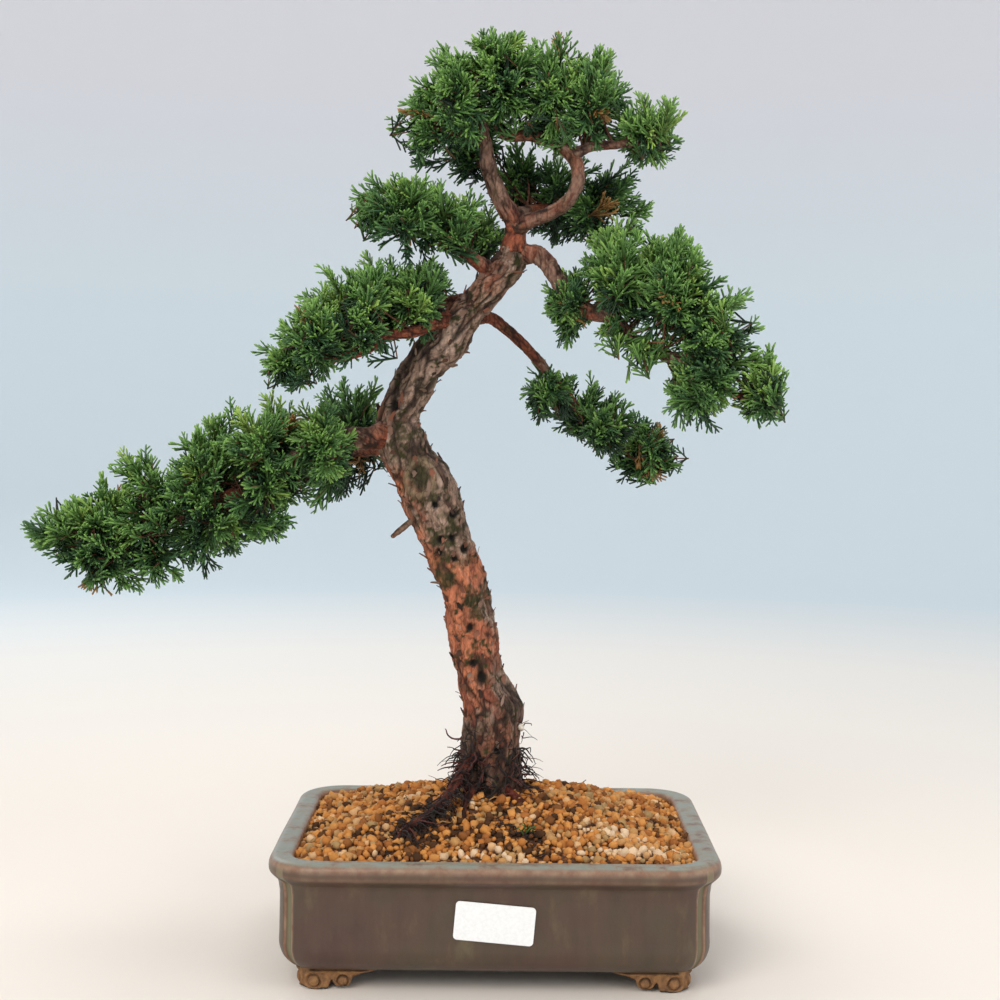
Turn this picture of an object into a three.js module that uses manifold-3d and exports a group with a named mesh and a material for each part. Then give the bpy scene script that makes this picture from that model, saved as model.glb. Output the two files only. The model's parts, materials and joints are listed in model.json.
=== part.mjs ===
// A juniper bonsai in a rectangular glazed pot: a leaning trunk with an elbow, its limbs, their pads of
// scale foliage, surface roots, a mound of granular soil, and the pot with its feet, screens and label.
// Millimetres, +Z up, +X to the right of the front, +Y to the back. The finished group is moved so that its
// origin is the middle of the bottom of its box, on the ground under the feet.

import * as THREE from "three";
import { mergeVertices } from "three/addons/utils/BufferGeometryUtils.js";
import Module from "manifold-3d";

const wasm = await Module();
wasm.setup();

// Driving dimensions
const CLEARANCE = 0.3; // space left between pieces that touch

const POT_WIDTH = 225; // over the rim, left to right
const POT_DEPTH = 172; // over the rim, front to back
const POT_HEIGHT = 66; // ground to the top of the rim
const WALL = 7; // thickness of the pot's sides
const FLOOR = 7; // thickness of the pot's bottom
const RIM_OVERHANG = 5.5; // how far the rim stands out from the sides
const RIM_HEIGHT = 16; // the rim and the hollow curve under it
const CORNER_RADIUS = 20; // sides' corners, seen from above
const CORNER_STEP = 1.5; // how far a strip down the middle of each corner is set back
const BASE_CURVE = 14; // the rounded bottom edge
const CORNER_SHARES = [0, 0.2, 0.4, 0.44, 0.5, 0.56, 0.6, 0.8, 1]; // outline points along a corner's arc
const STRIP_SHARE = 0.07; // half the set-back strip's share of the arc

const FOOT_HEIGHT = 10;
const FOOT_LENGTH = 39; // each leg of an angled foot
const FOOT_LOBE = 17; // its broad lobe, which stands on the ground
const FOOT_SECOND = 27; // the end of its small raised lobe; a thin bracket runs on from there
const FOOT_THICKNESS = 8;
const FOOT_INSET = 10; // feet stand this far in from the sides

const DRAIN_RADIUS = 7;
const DRAIN_SPACING = 100;
const SCREEN_SIZE = 28;
const SCREEN_THICKNESS = 1.2;
const SCREEN_HOLES = 4; // along each side
const SCREEN_HOLE = 5;
const CLIP_WIRE_RADIUS = 0.75;
const CLIP_REACH = 13; // half the width of a clip's bent ends

const SOIL_BELOW_RIM = 3;
const MOUND_RISE = 25;
const MOUND_POWER = 1.3; // 1 is a cone, more is a rounder mound
const SOIL_RIPPLE = 0.6;

const LABEL_WIDTH = 39;
const LABEL_HEIGHT = 19;
const LABEL_THICKNESS = 0.5;
const LABEL_CORNER = 2;
const LABEL_TILT = 4.8; // degrees, right end lower
const LABEL_RISE = 1.9; // the label's middle above the middle of the flat band it is stuck on
const LABEL_BAND_SHARE = 0.9; // a label takes at most this much of the band's height

const TREE_HEIGHT = 396; // soil to the top of the crown
const DRAWN_HEIGHT = 396; // height at which the points below are drawn
const WOOD_GIRTH = 1; // multiplies the radius of all wood
const TRUNK_X = -3;
const TRUNK_Y = 4;
const TRUNK_SEAT = 2; // the trunk's foot stands this far below the top of the mound

// Worked out from them
const WALL_X = POT_WIDTH / 2 - RIM_OVERHANG;
const WALL_Y = POT_DEPTH / 2 - RIM_OVERHANG;
const RIM_START = POT_HEIGHT - RIM_HEIGHT;
const BAND_BOTTOM = FOOT_HEIGHT + 0.8 * BASE_CURVE; // the sides are flat from here to the rim's start
const BAND_HEIGHT = RIM_START - BAND_BOTTOM;
const FLOOR_TOP = FOOT_HEIGHT + FLOOR;
const SOIL_EDGE = POT_HEIGHT - SOIL_BELOW_RIM;
const SOIL_CROWN = SOIL_EDGE + MOUND_RISE;
const TREE_SCALE = TREE_HEIGHT / DRAWN_HEIGHT;
const TREE_BASE = new THREE.Vector3(TRUNK_X, TRUNK_Y, SOIL_CROWN - TRUNK_SEAT);
const LABEL_TURN = THREE.MathUtils.degToRad(LABEL_TILT);
const LABEL_REACH = LABEL_HEIGHT * Math.cos(LABEL_TURN) + LABEL_WIDTH * Math.sin(LABEL_TURN); // turned height
const LABEL_FIT = Math.min(1, (LABEL_BAND_SHARE * BAND_HEIGHT) / LABEL_REACH); // smaller on a low pot
const LABEL_ROOM = (BAND_HEIGHT - LABEL_FIT * LABEL_REACH) / 2;
const LABEL_MIDDLE_HEIGHT = BAND_BOTTOM + BAND_HEIGHT / 2 + Math.min(LABEL_RISE, LABEL_ROOM);

// Wood. Each point is [x, y, z, radius] from the trunk's foot. A limb starts inside the wood it grows from.
const TRUNK = [
  [0, 0, -26, 19], [0, 0, -9, 18.5], [0, 0, 1, 16], [0, 0.5, 19, 15.5], [0, 1, 39, 15],
  [-4.5, 1, 53, 12.7], [-11, 2, 79, 12.5], [-15, 3, 103, 12.4], [-21, 4, 118, 12.8], [-25, 5, 129, 12.8],
  [-29, 5, 140, 14], [-33, 5, 151, 15.5], [-37, 5, 162, 14.9], [-44.5, 5, 173, 13], [-49, 4, 184.5, 12.6],
  [-50, 2, 195, 10.5], [-44, 0, 209, 10.6], [-36, -2, 224, 10.6], [-25, -4, 235, 10.8], [-17, -6, 248, 9.5],
  [-11, -7, 255, 8.4], [-1, -9, 267, 8.4], [8, -11, 277, 8.2], [9, -12, 284, 6.6],
];
const LIMBS = {
  apex_leader: [
    [9, -12, 282, 5.4], [9.7, -13, 291.8, 4.9], [9.6, -14, 296.3, 4.9], [3.8, -16, 305.8, 4.7],
    [-2, -18, 318.4, 4.5], [-4.6, -20, 327.8, 4], [-5.6, -21, 335.7, 3.1], [-8.7, -22, 349.8, 2.6],
    [-11, -22, 362.4, 2],
  ],
  branch_low_left: [
    [-47, 3, 186, 7], [-56, 0, 187.5, 6.9], [-64, -6, 184.5, 6.3], [-81, -14, 185, 4.7],
    [-97, -20, 177.7, 4.1], [-114.5, -24, 164.7, 3.9], [-127, -28, 158, 3.6], [-147.5, -32, 150, 3.3],
    [-164.4, -34, 142.2, 3], [-181, -36, 134.5, 2.5], [-204, -38, 132, 2], [-222, -38, 134, 1.5],
  ],
  branch_back_left: [
    [-48, 5, 180, 4], [-56, 14, 180, 3.8], [-66.6, 27, 177.5, 3.3], [-77, 42, 175.7, 2.8],
    [-87, 58, 176.4, 2.5], [-94, 72, 180, 2],
  ],
  branch_mid_left: [
    [-21, -8, 246, 4.6], [-30, -16, 245, 3.6], [-40.5, -22, 240, 3.1], [-55, -28, 237, 2.8],
    [-65.8, -32, 229.6, 2.8], [-78, -36, 225.8, 2.3], [-93, -38, 223, 2], [-105, -38, 221.4, 1.5],
  ],
  branch_mid_back: [
    [-12, -4, 254, 3.2], [-18, 3, 257.6, 3.2], [-27.4, 10, 256.4, 2.7], [-36.4, 20, 256.5, 2.4],
    [-52, 30, 259, 2.2], [-66.4, 38, 259.5, 1.8],
  ],
  branch_upper_left: [
    [2, -9, 271, 4.4], [-4, -11, 273, 4.2], [-9, -14, 276, 3.6], [-18.4, -18, 282.3, 3.4],
    [-29.7, -22, 291.5, 3.1], [-42.3, -26, 296, 2.6], [-55, -30, 300.4, 2], [-64, -32, 302.5, 1.5],
  ],
  branch_right: [
    [7, -10, 278, 5.4], [12.5, -11, 279.7, 5.2], [21.3, -16, 280, 4.7], [31, -22, 268.7, 4.4],
    [37.6, -26, 256.8, 4.1], [47.2, -30, 250.6, 4.1], [59.7, -34, 246, 3.8], [71.2, -38, 234.3, 3.5],
    [85, -42, 228.3, 3.3], [102.7, -46, 218.4, 2.5], [119.8, -50, 208.5, 2], [134, -52, 209, 1.5],
  ],
  branch_low_right: [
    [-14, -4, 248, 3.8], [-3.3, 4, 248.4, 3.2], [5.2, 10, 243.5, 2.9], [13.9, 16, 236, 2.9],
    [22.7, 22, 227.6, 2.7], [31.7, 28, 217, 2.5], [40.7, 32, 206.8, 2.5], [51.5, 36, 195, 2.2],
    [60.6, 39, 187.8, 2.2], [75.4, 42, 175.7, 1.9], [87, 44, 171.8, 1.6],
  ],
  apex_loop: [
    [9.6, -14, 293, 4], [18, -16, 297.7, 3.6], [27.6, -20, 300.9, 3.4], [37, -24, 307, 3.4],
    [41.4, -26, 316, 3.4], [39.8, -26, 327, 3.4], [30, -24, 335.8, 3.4], [16.9, -20, 340.4, 3.4],
    [4, -14, 341.7, 3], [0, -8, 352.4, 2.6], [4, -4, 366, 2.1],
  ],
  apex_side_twig: [
    [39, -26, 330, 2.8], [49, -26, 334, 2.4], [62, -25, 335, 2.1], [72, -24, 337, 1.9], [82, -22, 340, 1.5],
  ],
  apex_back_twig: [
    [7.5, -14.5, 300, 3], [12, -4, 303, 2.8], [18, 10, 306, 2.6], [28, 22, 309, 2.3],
    [44, 22, 311, 2], [58, 20, 310, 1.5],
  ],
  dead_stub: [[-34, 2, 144, 2.4], [-42, -2, 141.5, 1.8], [-48, -6, 137, 1.6], [-53, -10, 133, 1.2]],
  root_front_left: [
    [-6, -6, 18, 2.8], [-14, -16, 12, 2.2], [-21, -29, 2, 2], [-30, -43, -5, 1.9], [-42, -53, -11, 1.6],
    [-52, -60, -22, 1.2],
  ],
  root_front: [
    [-4, -6, 4, 2.4], [-10, -19, 0, 1.8], [-13, -30, -4, 1.5], [-13, -44, -12, 1.2], [-12, -54, -22, 1.1],
  ],
  root_front_right: [
    [4, -6, 3, 3], [11, -17, -1, 2.2], [20, -25, -6, 1.7], [30, -31, -12, 1.3], [38, -36, -22, 1.1],
  ],
  root_right: [[6, 2, 3, 3.4], [19, 4, -3, 2.6], [32, 8, -10, 2], [46, 12, -20, 1.6]],
  root_back: [[-4, 8, 3, 3.6], [-12, 21, -3, 2.8], [-22, 34, -10, 2.2], [-30, 46, -20, 1.8]],
};

// Foliage. Each pad is a few rounded clumps, [x, y, z, half-width, half-depth, half-height] from the trunk's
// foot, round the limbs that carry it.
const PADS = {
  foliage_low_left_tip: [
    [-216, -38, 136, 22, 20, 17], [-196, -48, 132, 22, 24, 29], [-194, -22, 135, 22, 24, 26],
    [-172, -42, 144, 22, 28, 32],
  ],
  foliage_low_left_middle: [[-148, -46, 152, 22, 28, 33], [-142, -14, 158, 24, 30, 36]],
  foliage_low_left_inner: [
    [-120, -40, 166, 22, 30, 34], [-114, -8, 172, 22, 28, 33], [-90, -24, 177, 20, 30, 25],
  ],
  foliage_back_left: [[-78, 54, 185, 22, 26, 30], [-90, 72, 182, 22, 24, 28], [-104, 84, 176, 18, 18, 20]],
  foliage_mid_left_tip: [
    [-107, -38, 222, 15, 20, 15], [-90, -46, 236, 18, 24, 24], [-84, -20, 240, 18, 22, 24],
  ],
  foliage_mid_left_inner: [
    [-68, -42, 250, 19, 24, 26], [-62, -14, 254, 19, 24, 26], [-42, -26, 258, 18, 24, 21],
  ],
  foliage_mid_back: [[-38, 28, 261, 20, 20, 20], [-54, 44, 262, 22, 22, 20], [-72, 38, 258, 14, 18, 14]],
  foliage_upper_left: [
    [-61, -32, 302, 12, 18, 14], [-45, -38, 298, 16, 20, 19], [-40, -16, 300, 16, 18, 19],
    [-22, -22, 295, 18, 24, 21], [-6, 6, 292, 15, 20, 15],
  ],
  foliage_right_inner: [[40, -22, 254, 15, 24, 24], [62, -40, 268, 20, 24, 28], [64, -14, 272, 20, 22, 27]],
  foliage_right_middle: [[90, -52, 262, 20, 24, 25], [88, -24, 265, 20, 24, 26], [102, -44, 247, 17, 24, 20]],
  foliage_right_tip: [[112, -50, 234, 22, 30, 26], [132, -52, 212, 15, 22, 19], [104, -44, 212, 20, 28, 22]],
  foliage_low_right_inner: [[30, 28, 210, 17, 20, 17], [50, 44, 198, 18, 20, 18], [62, 26, 190, 18, 20, 18]],
  foliage_low_right_tip: [[82, 48, 180, 18, 20, 20], [90, 32, 176, 12, 18, 15]],
  foliage_apex_left: [[-38, -24, 345, 15, 20, 21], [-22, -34, 357, 18, 20, 26], [-18, -8, 364, 16, 20, 20]],
  foliage_apex_top: [[2, -30, 368, 20, 22, 27], [6, -4, 373, 18, 22, 23], [26, -20, 364, 19, 26, 27]],
  foliage_apex_right: [[47, -24, 359, 18, 24, 25], [50, 2, 363, 17, 20, 21], [74, -20, 344, 21, 22, 19]],
  foliage_apex_back: [
    [57, 20, 309, 25, 22, 25], [34, 30, 313, 22, 20, 25], [10, 30, 324, 18, 18, 22],
    [-13, 24, 342, 19, 20, 22],
  ],
};

const COLOURS = {
  glaze: { color: 0x60524a, roughness: 0.35, metalness: 0 },
  soil: { color: 0x8a5f3c, roughness: 0.95, metalness: 0 },
  bark: { color: 0x8f6048, roughness: 0.85, metalness: 0 },
  dead_wood: { color: 0xb7a48a, roughness: 0.8, metalness: 0 },
  root: { color: 0x7a4a35, roughness: 0.85, metalness: 0 },
  foliage: { color: 0x3f7a45, roughness: 0.7, metalness: 0 },
  label: { color: 0xf1f1ee, roughness: 0.5, metalness: 0 },
  screen: { color: 0x1d1f20, roughness: 0.6, metalness: 0 },
  wire: { color: 0xb9bcc0, roughness: 0.4, metalness: 1 },
};

// Solids and meshes

function toSolid(geometry) {
  const bare = geometry.clone();
  bare.deleteAttribute("normal");
  bare.deleteAttribute("uv");
  const merged = mergeVertices(bare, 1e-4);
  return new wasm.Manifold(
    new wasm.Mesh({
      numProp: 3,
      vertProperties: new Float32Array(merged.attributes.position.array),
      triVerts: new Uint32Array(merged.index.array),
    }),
  );
}

function toGeometry(solid) {
  const mesh = solid.getMesh();
  const geometry = new THREE.BufferGeometry();
  geometry.setAttribute("position", new THREE.BufferAttribute(new Float32Array(mesh.vertProperties), 3));
  geometry.setIndex(new THREE.BufferAttribute(new Uint32Array(mesh.triVerts), 1));
  const faceted = geometry.toNonIndexed();
  faceted.computeVertexNormals();
  return faceted;
}

function unite(solids) {
  return solids.reduce((whole, next) => whole.add(next));
}

// A closed skin over rings with the same number of points, each anticlockwise about the way the rings go.
function loft(rings) {
  const count = rings[0].length;
  const positions = rings.flat().flatMap((point) => point.toArray());
  const middle = (ring) =>
    ring.reduce((sum, point) => sum.add(point), new THREE.Vector3()).divideScalar(count);
  positions.push(...middle(rings[0]).toArray(), ...middle(rings.at(-1)).toArray());
  const startMiddle = rings.length * count;
  const endMiddle = startMiddle + 1;
  const lastRing = (rings.length - 1) * count;
  const faces = [];
  for (let side = 0; side < count; side++) {
    const next = (side + 1) % count;
    faces.push(startMiddle, next, side, endMiddle, lastRing + side, lastRing + next);
    for (let row = 0; row < lastRing; row += count) {
      faces.push(row + side, row + next, row + count + next);
      faces.push(row + side, row + count + next, row + count + side);
    }
  }
  const geometry = new THREE.BufferGeometry();
  geometry.setAttribute("position", new THREE.BufferAttribute(new Float32Array(positions), 3));
  geometry.setIndex(faces);
  return geometry;
}

// Wood

function limbSolid(points, sides, swell = 0) {
  const places = points.map(([x, y, z]) =>
    new THREE.Vector3(x, y, z).multiplyScalar(TREE_SCALE).add(TREE_BASE),
  );
  const curve = new THREE.CatmullRomCurve3(places, false, "centripetal");
  const across = new THREE.Vector3(0.2, 1, 0);
  const rings = places.map((centre, index) => {
    const along = curve.getTangent(index / (places.length - 1));
    across.addScaledVector(along, -across.dot(along)).normalize();
    const third = new THREE.Vector3().crossVectors(along, across);
    const radius = points[index][3] * WOOD_GIRTH * TREE_SCALE + swell;
    const ring = [];
    for (let side = 0; side < sides; side++) {
      const angle = (side / sides) * 2 * Math.PI;
      ring.push(
        centre
          .clone()
          .addScaledVector(across, radius * Math.cos(angle))
          .addScaledVector(third, radius * Math.sin(angle)),
      );
    }
    return ring;
  });
  return toSolid(loft(rings));
}

const TRUNK_SIDES = 12;
const LIMB_SIDES = 8;

// Each limb is cut clear of the wood made before it, so it starts at the surface of what it grows from.
function woodSolids() {
  const wood = { trunk: limbSolid(TRUNK, TRUNK_SIDES) };
  const swollen = { trunk: limbSolid(TRUNK, TRUNK_SIDES, CLEARANCE) };
  for (const [name, points] of Object.entries(LIMBS)) {
    wood[name] = limbSolid(points, LIMB_SIDES).subtract(unite(Object.values(swollen)));
    swollen[name] = limbSolid(points, LIMB_SIDES, CLEARANCE);
  }
  return { wood, swollen };
}

// Foliage

function clumpSolid([x, y, z, halfWidth, halfDepth, halfHeight], swell = 0) {
  const ball = new THREE.IcosahedronGeometry(1, 1);
  ball.scale(
    halfWidth * TREE_SCALE + swell,
    halfDepth * TREE_SCALE + swell,
    halfHeight * TREE_SCALE + swell,
  );
  ball.translate(x * TREE_SCALE + TREE_BASE.x, y * TREE_SCALE + TREE_BASE.y, z * TREE_SCALE + TREE_BASE.z);
  return toSolid(ball);
}

// Each pad is cut clear of the wood and of the pads made before it.
function padSolids(swollenWood) {
  const wood = unite(Object.values(swollenWood));
  const pads = {};
  let taken = wood;
  for (const [name, clumps] of Object.entries(PADS)) {
    pads[name] = unite(clumps.map((clump) => clumpSolid(clump))).subtract(taken);
    taken = taken.add(unite(clumps.map((clump) => clumpSolid(clump, CLEARANCE))));
  }
  return pads;
}

// Pot. An outline is the pot seen from above, moved out from the sides' faces by offset.

function potOutline(offset, cornerStep, z) {
  const halfX = WALL_X + offset;
  const halfY = WALL_Y + offset;
  const radius = CORNER_RADIUS + offset;
  const quarter = CORNER_SHARES.map((share) => {
    const reach = radius - (Math.abs(share - 0.5) < STRIP_SHARE ? cornerStep : 0);
    const angle = share * (Math.PI / 2);
    return [halfX - radius + reach * Math.cos(angle), halfY - radius + reach * Math.sin(angle)];
  });
  const turned = [...quarter].reverse();
  return [
    ...quarter,
    ...turned.map(([x, y]) => [-x, y]),
    ...quarter.map(([x, y]) => [-x, -y]),
    ...turned.map(([x, y]) => [x, -y]),
  ].map(([x, y]) => new THREE.Vector3(x, y, z));
}

function potShell() {
  const top = POT_HEIGHT;
  const base = FOOT_HEIGHT;
  return toSolid(
    loft([
      potOutline(-BASE_CURVE, 0, base),
      potOutline(-0.5 * BASE_CURVE, CORNER_STEP / 2, base + 0.1 * BASE_CURVE),
      potOutline(-0.15 * BASE_CURVE, CORNER_STEP, base + 0.4 * BASE_CURVE),
      potOutline(0, CORNER_STEP, BAND_BOTTOM),
      potOutline(0, CORNER_STEP, RIM_START),
      potOutline(0.2 * RIM_OVERHANG, CORNER_STEP, RIM_START + 0.25 * RIM_HEIGHT),
      potOutline(0.65 * RIM_OVERHANG, CORNER_STEP / 2, RIM_START + 0.4 * RIM_HEIGHT),
      potOutline(0.95 * RIM_OVERHANG, 0, RIM_START + 0.53 * RIM_HEIGHT),
      potOutline(RIM_OVERHANG, 0, RIM_START + 0.7 * RIM_HEIGHT),
      potOutline(0.85 * RIM_OVERHANG, 0, RIM_START + 0.9 * RIM_HEIGHT),
      potOutline(0.4 * RIM_OVERHANG, 0, top),
      potOutline(-0.6 * WALL, 0, top),
      potOutline(-0.9 * WALL, 0, top - 1.4),
      potOutline(-0.95 * WALL, 0, top - 5),
      potOutline(-WALL, 0, FLOOR_TOP + 3),
      potOutline(-WALL - 4, 0, FLOOR_TOP),
    ]),
  );
}

// One leg of a foot, seen from the side: a broad flat lobe at the corner, a small raised one and a bracket.
function footLeg() {
  const top = FOOT_HEIGHT + FLOOR / 2;
  const raised = 0.17 * FOOT_HEIGHT;
  const shape = new THREE.Shape();
  shape.moveTo(0, top);
  shape.lineTo(0, 0.35 * FOOT_HEIGHT);
  shape.quadraticCurveTo(0, 0, 0.12 * FOOT_LOBE, 0);
  shape.lineTo(0.8 * FOOT_LOBE, 0);
  shape.quadraticCurveTo(FOOT_LOBE, 0, FOOT_LOBE, 0.45 * FOOT_HEIGHT);
  shape.quadraticCurveTo(1.08 * FOOT_LOBE, raised, (FOOT_LOBE + FOOT_SECOND) / 2, raised);
  shape.quadraticCurveTo(FOOT_SECOND, raised, FOOT_SECOND, 0.6 * FOOT_HEIGHT);
  shape.quadraticCurveTo((FOOT_SECOND + FOOT_LENGTH) / 2, 0.8 * FOOT_HEIGHT, FOOT_LENGTH, FOOT_HEIGHT);
  shape.lineTo(FOOT_LENGTH, top);
  const leg = new THREE.ExtrudeGeometry(shape, {
    depth: FOOT_THICKNESS,
    bevelEnabled: false,
    curveSegments: 3,
  });
  leg.rotateX(Math.PI / 2); // the drawing's height becomes Z, its depth runs towards -Y
  return leg;
}

// A foot with its two legs along +X and +Y from the origin, standing on the ground.
function footSolid() {
  const alongX = footLeg();
  alongX.translate(0, FOOT_THICKNESS, 0);
  const alongY = footLeg();
  alongY.rotateZ(Math.PI / 2);
  return toSolid(alongX).add(toSolid(alongY));
}

// The feet's outer corners are rounded to follow the pot's.
function potSolid() {
  const footX = WALL_X - FOOT_INSET;
  const footY = WALL_Y - FOOT_INSET;
  const footTop = FOOT_HEIGHT + FLOOR / 2;
  const footprint = toSolid(loft([potOutline(-FOOT_INSET, 0, 0), potOutline(-FOOT_INSET, 0, footTop)]));
  let pot = potShell();
  for (let corner = 0; corner < 4; corner++) {
    const x = corner % 3 === 0 ? -footX : footX;
    const y = corner < 2 ? -footY : footY;
    const foot = footSolid().rotate([0, 0, 90 * corner]).translate([x, y, 0]);
    pot = pot.add(foot.intersect(footprint));
  }
  for (const side of [-1, 1]) {
    const drain = new THREE.CylinderGeometry(DRAIN_RADIUS, DRAIN_RADIUS, 3 * FLOOR, 16);
    drain.rotateX(Math.PI / 2);
    drain.translate((side * DRAIN_SPACING) / 2, 0, FOOT_HEIGHT + FLOOR / 2);
    pot = pot.subtract(toSolid(drain));
  }
  return pot;
}

const SCREEN_PITCH = SCREEN_SIZE / (SCREEN_HOLES + 0.25);
const SCREEN_BOTTOM = FLOOR_TOP + CLEARANCE;
const CLIP_LEG = SCREEN_PITCH / 2; // a clip's legs go down through the screen's middle holes
const CLIP_TOP = SCREEN_BOTTOM + SCREEN_THICKNESS + CLEARANCE + CLIP_WIRE_RADIUS;

// A plastic grid over a drain hole.
function screenGeometry() {
  let screen = toSolid(new THREE.BoxGeometry(SCREEN_SIZE, SCREEN_SIZE, SCREEN_THICKNESS));
  for (let row = 0; row < SCREEN_HOLES; row++)
    for (let column = 0; column < SCREEN_HOLES; column++) {
      const hole = new THREE.BoxGeometry(SCREEN_HOLE, SCREEN_HOLE, 2 * SCREEN_THICKNESS);
      const middle = (SCREEN_HOLES - 1) / 2;
      hole.translate((column - middle) * SCREEN_PITCH, (row - middle) * SCREEN_PITCH, 0);
      screen = screen.subtract(toSolid(hole));
    }
  return toGeometry(screen);
}

// A wire that lies across the screen, goes down through two of its holes and the drain, and bends out below.
function clipGeometry() {
  const below = FOOT_HEIGHT - CLEARANCE - CLIP_WIRE_RADIUS;
  const corners = [
    [-CLIP_REACH, below], [-CLIP_LEG, below], [-CLIP_LEG, CLIP_TOP],
    [CLIP_LEG, CLIP_TOP], [CLIP_LEG, below], [CLIP_REACH, below],
  ].map(([x, z]) => new THREE.Vector3(x, 0, z));
  const rings = corners.map((corner, index) => {
    const before = corners[Math.max(index - 1, 0)];
    const after = corners[Math.min(index + 1, corners.length - 1)];
    const mitre = index % (corners.length - 1) === 0 ? 1 : Math.SQRT2;
    const behind = corner.clone().sub(before).normalize();
    const ahead = after.clone().sub(corner).normalize();
    const along = behind.add(ahead).normalize();
    const across = new THREE.Vector3(0, 1, 0);
    const third = new THREE.Vector3().crossVectors(along, across);
    const ring = [];
    for (let side = 0; side < 6; side++) {
      const angle = (side / 6) * 2 * Math.PI;
      ring.push(
        corner
          .clone()
          .addScaledVector(across, CLIP_WIRE_RADIUS * Math.cos(angle))
          .addScaledVector(third, mitre * CLIP_WIRE_RADIUS * Math.sin(angle)),
      );
    }
    return ring;
  });
  return loft(rings);
}

// Soil: it fills the pot to just under the rim and is heaped up to the trunk.
function soilSolid(swollenWood) {
  const wall = -WALL - CLEARANCE;
  const edge = potOutline(wall, 0, SOIL_EDGE);
  const rings = [
    potOutline(wall - 4, 0, FLOOR_TOP + CLEARANCE),
    potOutline(wall, 0, FLOOR_TOP + 3 + CLEARANCE),
    edge,
  ];
  for (const share of [0.84, 0.68, 0.52, 0.36, 0.2, 0.07])
    rings.push(
      edge.map((point) => {
        const x = TRUNK_X + (point.x - TRUNK_X) * share;
        const y = TRUNK_Y + (point.y - TRUNK_Y) * share;
        const ripple = SOIL_RIPPLE * Math.sin(x / 5) * Math.cos(y / 6);
        return new THREE.Vector3(x, y, SOIL_EDGE + MOUND_RISE * (1 - share ** MOUND_POWER) + ripple);
      }),
    );
  let soil = toSolid(loft(rings));
  for (const name of ["trunk", ...Object.keys(LIMBS).filter((limb) => limb.startsWith("root"))])
    soil = soil.subtract(swollenWood[name]);
  const hollow = CLIP_TOP + CLIP_WIRE_RADIUS + CLEARANCE;
  for (const side of [-1, 1]) {
    const room = new THREE.BoxGeometry(SCREEN_SIZE + 2 * CLEARANCE, SCREEN_SIZE + 2 * CLEARANCE, 2 * hollow);
    room.translate((side * DRAIN_SPACING) / 2, 0, 0);
    soil = soil.subtract(toSolid(room));
  }
  return soil;
}

function labelGeometry() {
  const x = (LABEL_FIT * LABEL_WIDTH) / 2;
  const y = (LABEL_FIT * LABEL_HEIGHT) / 2;
  const r = LABEL_CORNER;
  const shape = new THREE.Shape();
  shape.absarc(x - r, y - r, r, 0, Math.PI / 2);
  shape.absarc(r - x, y - r, r, Math.PI / 2, Math.PI);
  shape.absarc(r - x, r - y, r, Math.PI, 1.5 * Math.PI);
  shape.absarc(x - r, r - y, r, 1.5 * Math.PI, 2 * Math.PI);
  return new THREE.ExtrudeGeometry(shape, { depth: LABEL_THICKNESS, bevelEnabled: false, curveSegments: 4 });
}

// Assembly

const bonsai = new THREE.Group();

function place(name, geometry, finish, parent = bonsai) {
  const mesh = new THREE.Mesh(geometry, new THREE.MeshStandardMaterial(COLOURS[finish]));
  mesh.name = name;
  parent.add(mesh);
  return mesh;
}

function woodFinish(name) {
  if (name.startsWith("root")) return "root";
  return name === "dead_stub" ? "dead_wood" : "bark";
}

const { wood, swollen } = woodSolids();

place("pot", toGeometry(potSolid()), "glaze");
for (const [side, direction] of [["left", -1], ["right", 1]]) {
  const drain = new THREE.Group();
  drain.position.x = (direction * DRAIN_SPACING) / 2;
  const screen = place("drain_screen_" + side, screenGeometry(), "screen", drain);
  screen.position.z = SCREEN_BOTTOM + SCREEN_THICKNESS / 2;
  const clip = place("drain_clip_" + side, clipGeometry(), "wire", drain);
  clip.position.y = CLIP_LEG;
  bonsai.add(drain);
}
place("soil_mound", toGeometry(soilSolid(swollen)), "soil");
const label = place("blank_label", labelGeometry(), "label");
label.position.set(0, -WALL_Y - CLEARANCE, LABEL_MIDDLE_HEIGHT);
label.rotation.set(Math.PI / 2, 0, -LABEL_TURN);
for (const [name, solid] of Object.entries(wood)) place(name, toGeometry(solid), woodFinish(name));
for (const [name, solid] of Object.entries(padSolids(swollen))) place(name, toGeometry(solid), "foliage");

const box = new THREE.Box3().setFromObject(bonsai, true);
const centre = box.getCenter(new THREE.Vector3());
bonsai.position.set(-centre.x, -centre.y, -box.min.z);

export default bonsai;
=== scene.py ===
"""A juniper bonsai in a rectangular glazed pot, made round its CAD frame.

The trunk and limbs are skins of flaking bark over smooth centre lines. The foliage pads are scale-leaf shoots
set out over the pads' clumps, and the soil is loose granules over a dark bed. Metres, +Z up, +X to the right
of the pot's labelled front, +Y to the back.
"""

import json
import math
import random

import bpy
import numpy as np
from mathutils import Matrix, Vector, noise

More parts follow.
